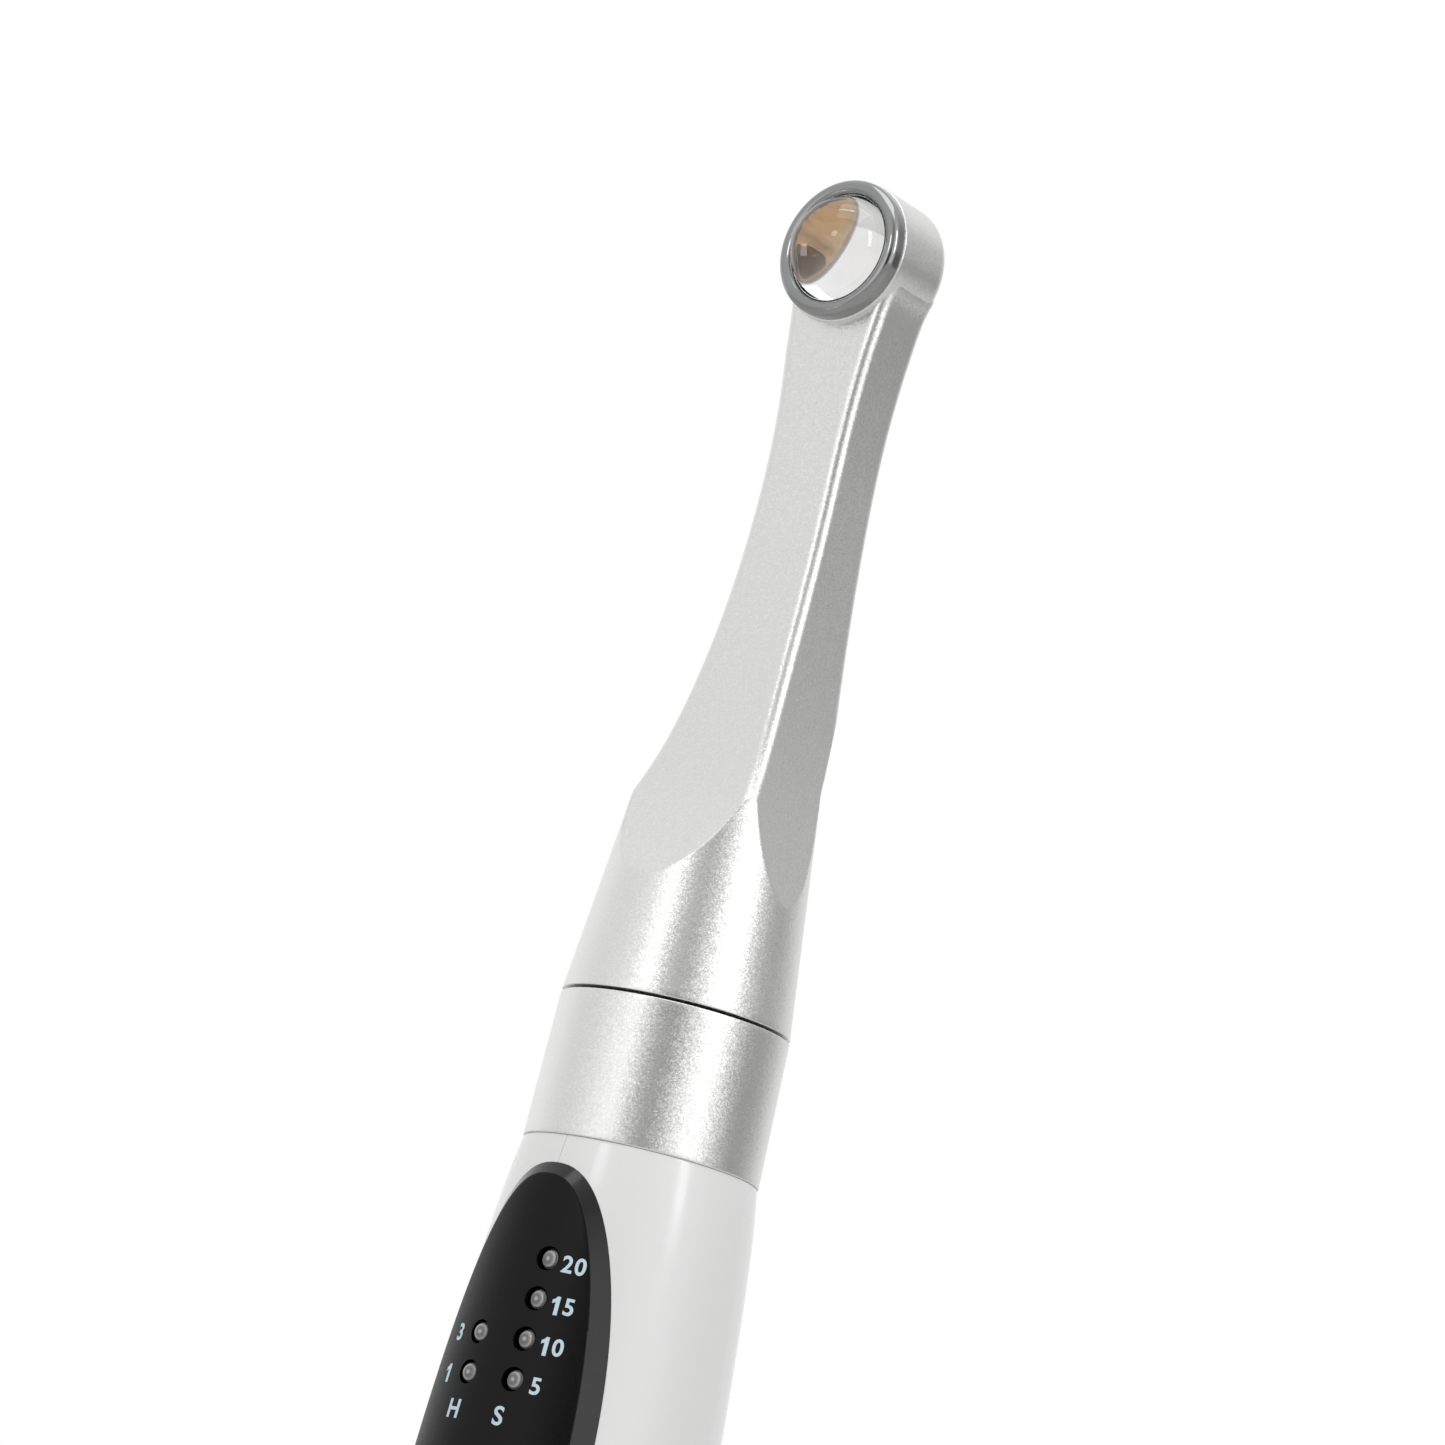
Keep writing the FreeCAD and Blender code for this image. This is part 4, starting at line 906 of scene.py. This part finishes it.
def store_reach(mesh):
    """Stores the distance from the nearest pipe's axis over the pipe's radius."""
    flat = points_of(mesh)[:, [0, 2]] / MM
    away = np.linalg.norm(flat[:, None] - np.array(PIPES)[None], axis=2).min(1)
    mesh.attributes.new("reach", "FLOAT", "POINT").data.foreach_set(
        "value", (away / PIPE_R).astype(np.float32))


pipes = piece_from("indicator_pipes", [pipe_grid(x, z) for x, z in PIPES])
store_reach(pipes.data)
dress(pipes, "handle", "clear_pipe", FINISHES["clear_pipe"], "light_pipes")

# %% [markdown]
# ## Keys
# Three silicone keys stand a little proud. Each is a turned profile with a rounded shoulder and a
# shallow dish where the thumb rests, and a straight wall that reaches down behind the panel.

# %% Keys
DISH_EDGE, DISH_RIM, DISH_DEEP = 0.55, 0.10, 0.22
KEY_ROUND, SHOULDER, KEY_DEEP = 0.45, 0.42, 2.4


def dish_depth(reach, r):
    """Depth below the key's highest ring: rim + deep x (1 - (reach / edge)^2)^2."""
    return DISH_RIM + DISH_DEEP * (1 - (reach / (r - DISH_EDGE)) ** 2) ** 2


def key_profile(r, face, foot):
    """Dish, soft shoulder, wall, and a flat underside, from the axis outwards."""
    dish = np.linspace(0, r - DISH_EDGE, 14)
    shoulder = quarter((r - KEY_ROUND, face + SHOULDER), (KEY_ROUND, -SHOULDER), 90, 0, 10)
    return np.concatenate([np.stack([dish, face + dish_depth(dish, r)], -1), shoulder,
                           [(r, foot), (0, foot)]])


for node, (body, x, z, r) in KEYS.items():
    low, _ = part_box(node)
    face, foot = low.y / MM, low.y / MM + KEY_DEEP
    key = piece_from(node + "_cap", [turned(key_profile(r, face, foot), x0=x, z0=z)])
    dress(key, body, "key_rubber", key_rubber, node)

# %% [markdown]
# ## Printed marks
# The panel carries plain numbers for the seconds of light and one letter over each column. They
# are text made into thin meshes, then wrapped: the distance along the text becomes an angle
# round the handle. The font at hand has a bare stroke for a one, so that numeral is drawn.

# %% Printed marks
INK_LIFT, INK_THICK = 0.05, 0.06
CAPITAL_SHARE = 0.80     # height of a capital over the size of the font
BOLDER = 0.045           # mm that each stroke grows on either side
SIGN_PITCH = 0.72        # distance between two figures over their height


def text_mesh(body, height):
    """Flat bold text of a given capital height, centred, in mm, as a closed thin mesh."""
    font = bpy.data.curves.new("mark", "FONT")
    font.body, font.size = body, height / CAPITAL_SHARE
    font.align_x, font.align_y = "CENTER", "CENTER"
    font.offset = BOLDER
    font.resolution_u = 6
    return curve_mesh(font)


def numeral_one(height):
    """The numeral one with its flag: a filled outline of straight edges."""
    outline = np.array([(-0.05, -0.5), (0.17, -0.5), (0.17, 0.5), (0.0, 0.5), (-0.1, 0.37),
                        (-0.24, 0.29), (-0.24, 0.1), (-0.05, 0.19)]) * height
    curve = bpy.data.curves.new("mark", "CURVE")
    curve.dimensions, curve.fill_mode = "2D", "BOTH"
    spline = curve.splines.new("POLY")
    spline.points.add(len(outline) - 1)
    spline.use_cyclic_u = True
    flat = np.concatenate([outline, np.zeros((len(outline), 1)), np.ones((len(outline), 1))], 1)
    spline.points.foreach_set("co", flat.ravel())
    return curve_mesh(curve)


def curve_mesh(curve):
    """Thin closed mesh of a filled curve, half its thickness on either side."""
    curve.extrude = INK_THICK / 2
    holder = bpy.data.objects.new("mark", curve)
    scene.collection.objects.link(holder)
    mesh = frozen(holder)
    bpy.data.objects.remove(holder)
    return mesh


def wrap_on_panel(mesh, bearing, z0, shift):
    """Text x, moved by a shift, becomes an angle from the bearing (degrees right of the front),
    and text y becomes a height."""
    tx, ty, tz = points_of(mesh).T.astype(float)
    z = z0 + ty
    r = housing_r(z) + PANEL_PROUD + INK_LIFT - INK_THICK / 2 + tz
    angle = math.radians(bearing) + (tx + shift) / r
    co = np.stack([r * np.sin(angle), -r * np.cos(angle), z], -1) * MM
    mesh.vertices.foreach_set("co", co.ravel().astype(np.float32))


# Text, degrees right of the front, height of its middle and height of a capital, mm.
MARKS = [("20", 23.6, 156.6, 1.65), ("15", 23.2, 153.0, 1.65), ("10", 23.0, 149.4, 1.65),
         ("5", 21.0, 145.8, 1.65), ("3", -24.0, 149.4, 1.65), ("1", -24.0, 145.8, 1.65),
         ("H", -12.9, 142.7, 1.85), ("S", 9.4, 142.7, 1.85)]
for text, bearing, z0, height in MARKS:
    for place_in_text, sign in enumerate(text):
        mesh = numeral_one(height) if sign == "1" else text_mesh(sign, height)
        wrap_on_panel(mesh, bearing, z0,
                      (place_in_text - (len(text) - 1) / 2) * SIGN_PITCH * height)
        mark = bpy.data.objects.new(f"mark_{text}_{place_in_text}", mesh)
        scene.collection.objects.link(mark)
        weld(mesh)
        dress(mark, "handle", None, ink)

# %% [markdown]
# ## Power mark
# The large key has the usual sign for on and off: a broken ring and a bar. Both are thin bent
# blocks, so a grid of angle and radius, doubled for top and bottom, makes each.

# %% Power mark
RING_R, STROKE, RING_GAP = 0.95, 0.28, 35       # mm, mm, degrees either side of the top
BAR_FOOT, BAR_LEN = 0.35, 0.95


def thin_plate(a, b, across):
    """Closed plate between two mappings of the unit square, one for each depth."""
    u, v = np.meshgrid(np.linspace(0, 1, across), np.linspace(0, 1, 4), indexing="ij")
    return closed(a(u, v), b(u, v))


def power_sign(depth):
    """Ring (r sin t, r cos t) that leaves a gap at the top, and a bar through the gap."""
    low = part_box("power_button")[0].y / MM
    _, x0, z0, _ = KEYS["power_button"]

    def ring(u, v):
        t, r = np.radians(RING_GAP + (360 - 2 * RING_GAP) * u), RING_R + STROKE * v
        return np.stack([x0 + r * np.sin(t), low + depth(r), z0 + r * np.cos(t)], -1) * MM

    def bar(u, v):
        x, z = STROKE * (v - 0.5), BAR_FOOT + BAR_LEN * u
        return np.stack([x0 + x, low + depth(np.hypot(x, z)), z0 + z], -1) * MM
    return ring, bar


power_r = KEYS["power_button"][3]
upper = power_sign(lambda reach: dish_depth(reach, power_r) - 0.04)
lower = power_sign(lambda reach: dish_depth(reach, power_r) + 0.03)
sign = piece_from("mark_power", thin_plate(upper[0], lower[0], 48)
                  + thin_plate(upper[1], lower[1], 8))
dress(sign, "power_key", None, ink)

# %% [markdown]
# ## Tail cap
# The battery cap screws in. Its grip is a ring of shallow flutes: the radius dips by a rounded
# wave of the angle, faded in and out along the height.

# %% Tail cap
CAP_R, CAP_LEN, CAP_ROUND, FLOOR_R = 11.0, 12.0, 1.4, 3.2
CAP_SPIGOT_R, CAP_TOP, CAP_BORE_R, CAP_FLOOR = 8.8, 19.0, 7.4, 2.5
FLUTES, FLUTE_DEPTH = 40, 0.28
GRIP_LOW, GRIP_HIGH, GRIP_FADE = 3.0, 10.4, 1.2


def cap_grid():
    """The profile turned about z. Its radius dips by depth x fade x ((1 - cos 40t) / 2)^1.5,
    where t is the angle."""
    foot = quarter((CAP_R - CAP_ROUND, CAP_ROUND), (CAP_ROUND, -CAP_ROUND), 90, 0, 12)
    wall = np.stack([np.full(40, CAP_R), np.linspace(1.6, CAP_LEN - 0.1, 40)], -1)
    inside = [(CAP_R - 0.1, CAP_LEN), (CAP_SPIGOT_R, CAP_LEN), (CAP_SPIGOT_R, CAP_TOP),
              (CAP_BORE_R, CAP_TOP), (CAP_BORE_R, CAP_FLOOR), (FLOOR_R, CAP_FLOOR),
              (FLOOR_R, 0.0)]
    rows = np.concatenate([[(FLOOR_R, 0.0)], foot, wall, inside])
    t = np.linspace(0, 2 * np.pi, FLUTES * 12 + 1)[None, :]
    r, z = rows[:, :1], rows[:, 1:]
    fade = (np.clip((z - GRIP_LOW) / GRIP_FADE, 0, 1)
            * np.clip((GRIP_HIGH - z) / GRIP_FADE, 0, 1) * (r > CAP_R - 0.01))
    fade = fade * fade * (3 - 2 * fade)
    dip = FLUTE_DEPTH * fade * (0.5 - 0.5 * np.cos(FLUTES * t)) ** 1.5
    return np.stack([(r - dip) * np.cos(t), (r - dip) * np.sin(t), z + 0 * t], -1) * MM


dress(piece_from("battery_cap", [cap_grid()], sharp=40), "cap", "blasted_aluminium",
      aluminium, "tail_cap")
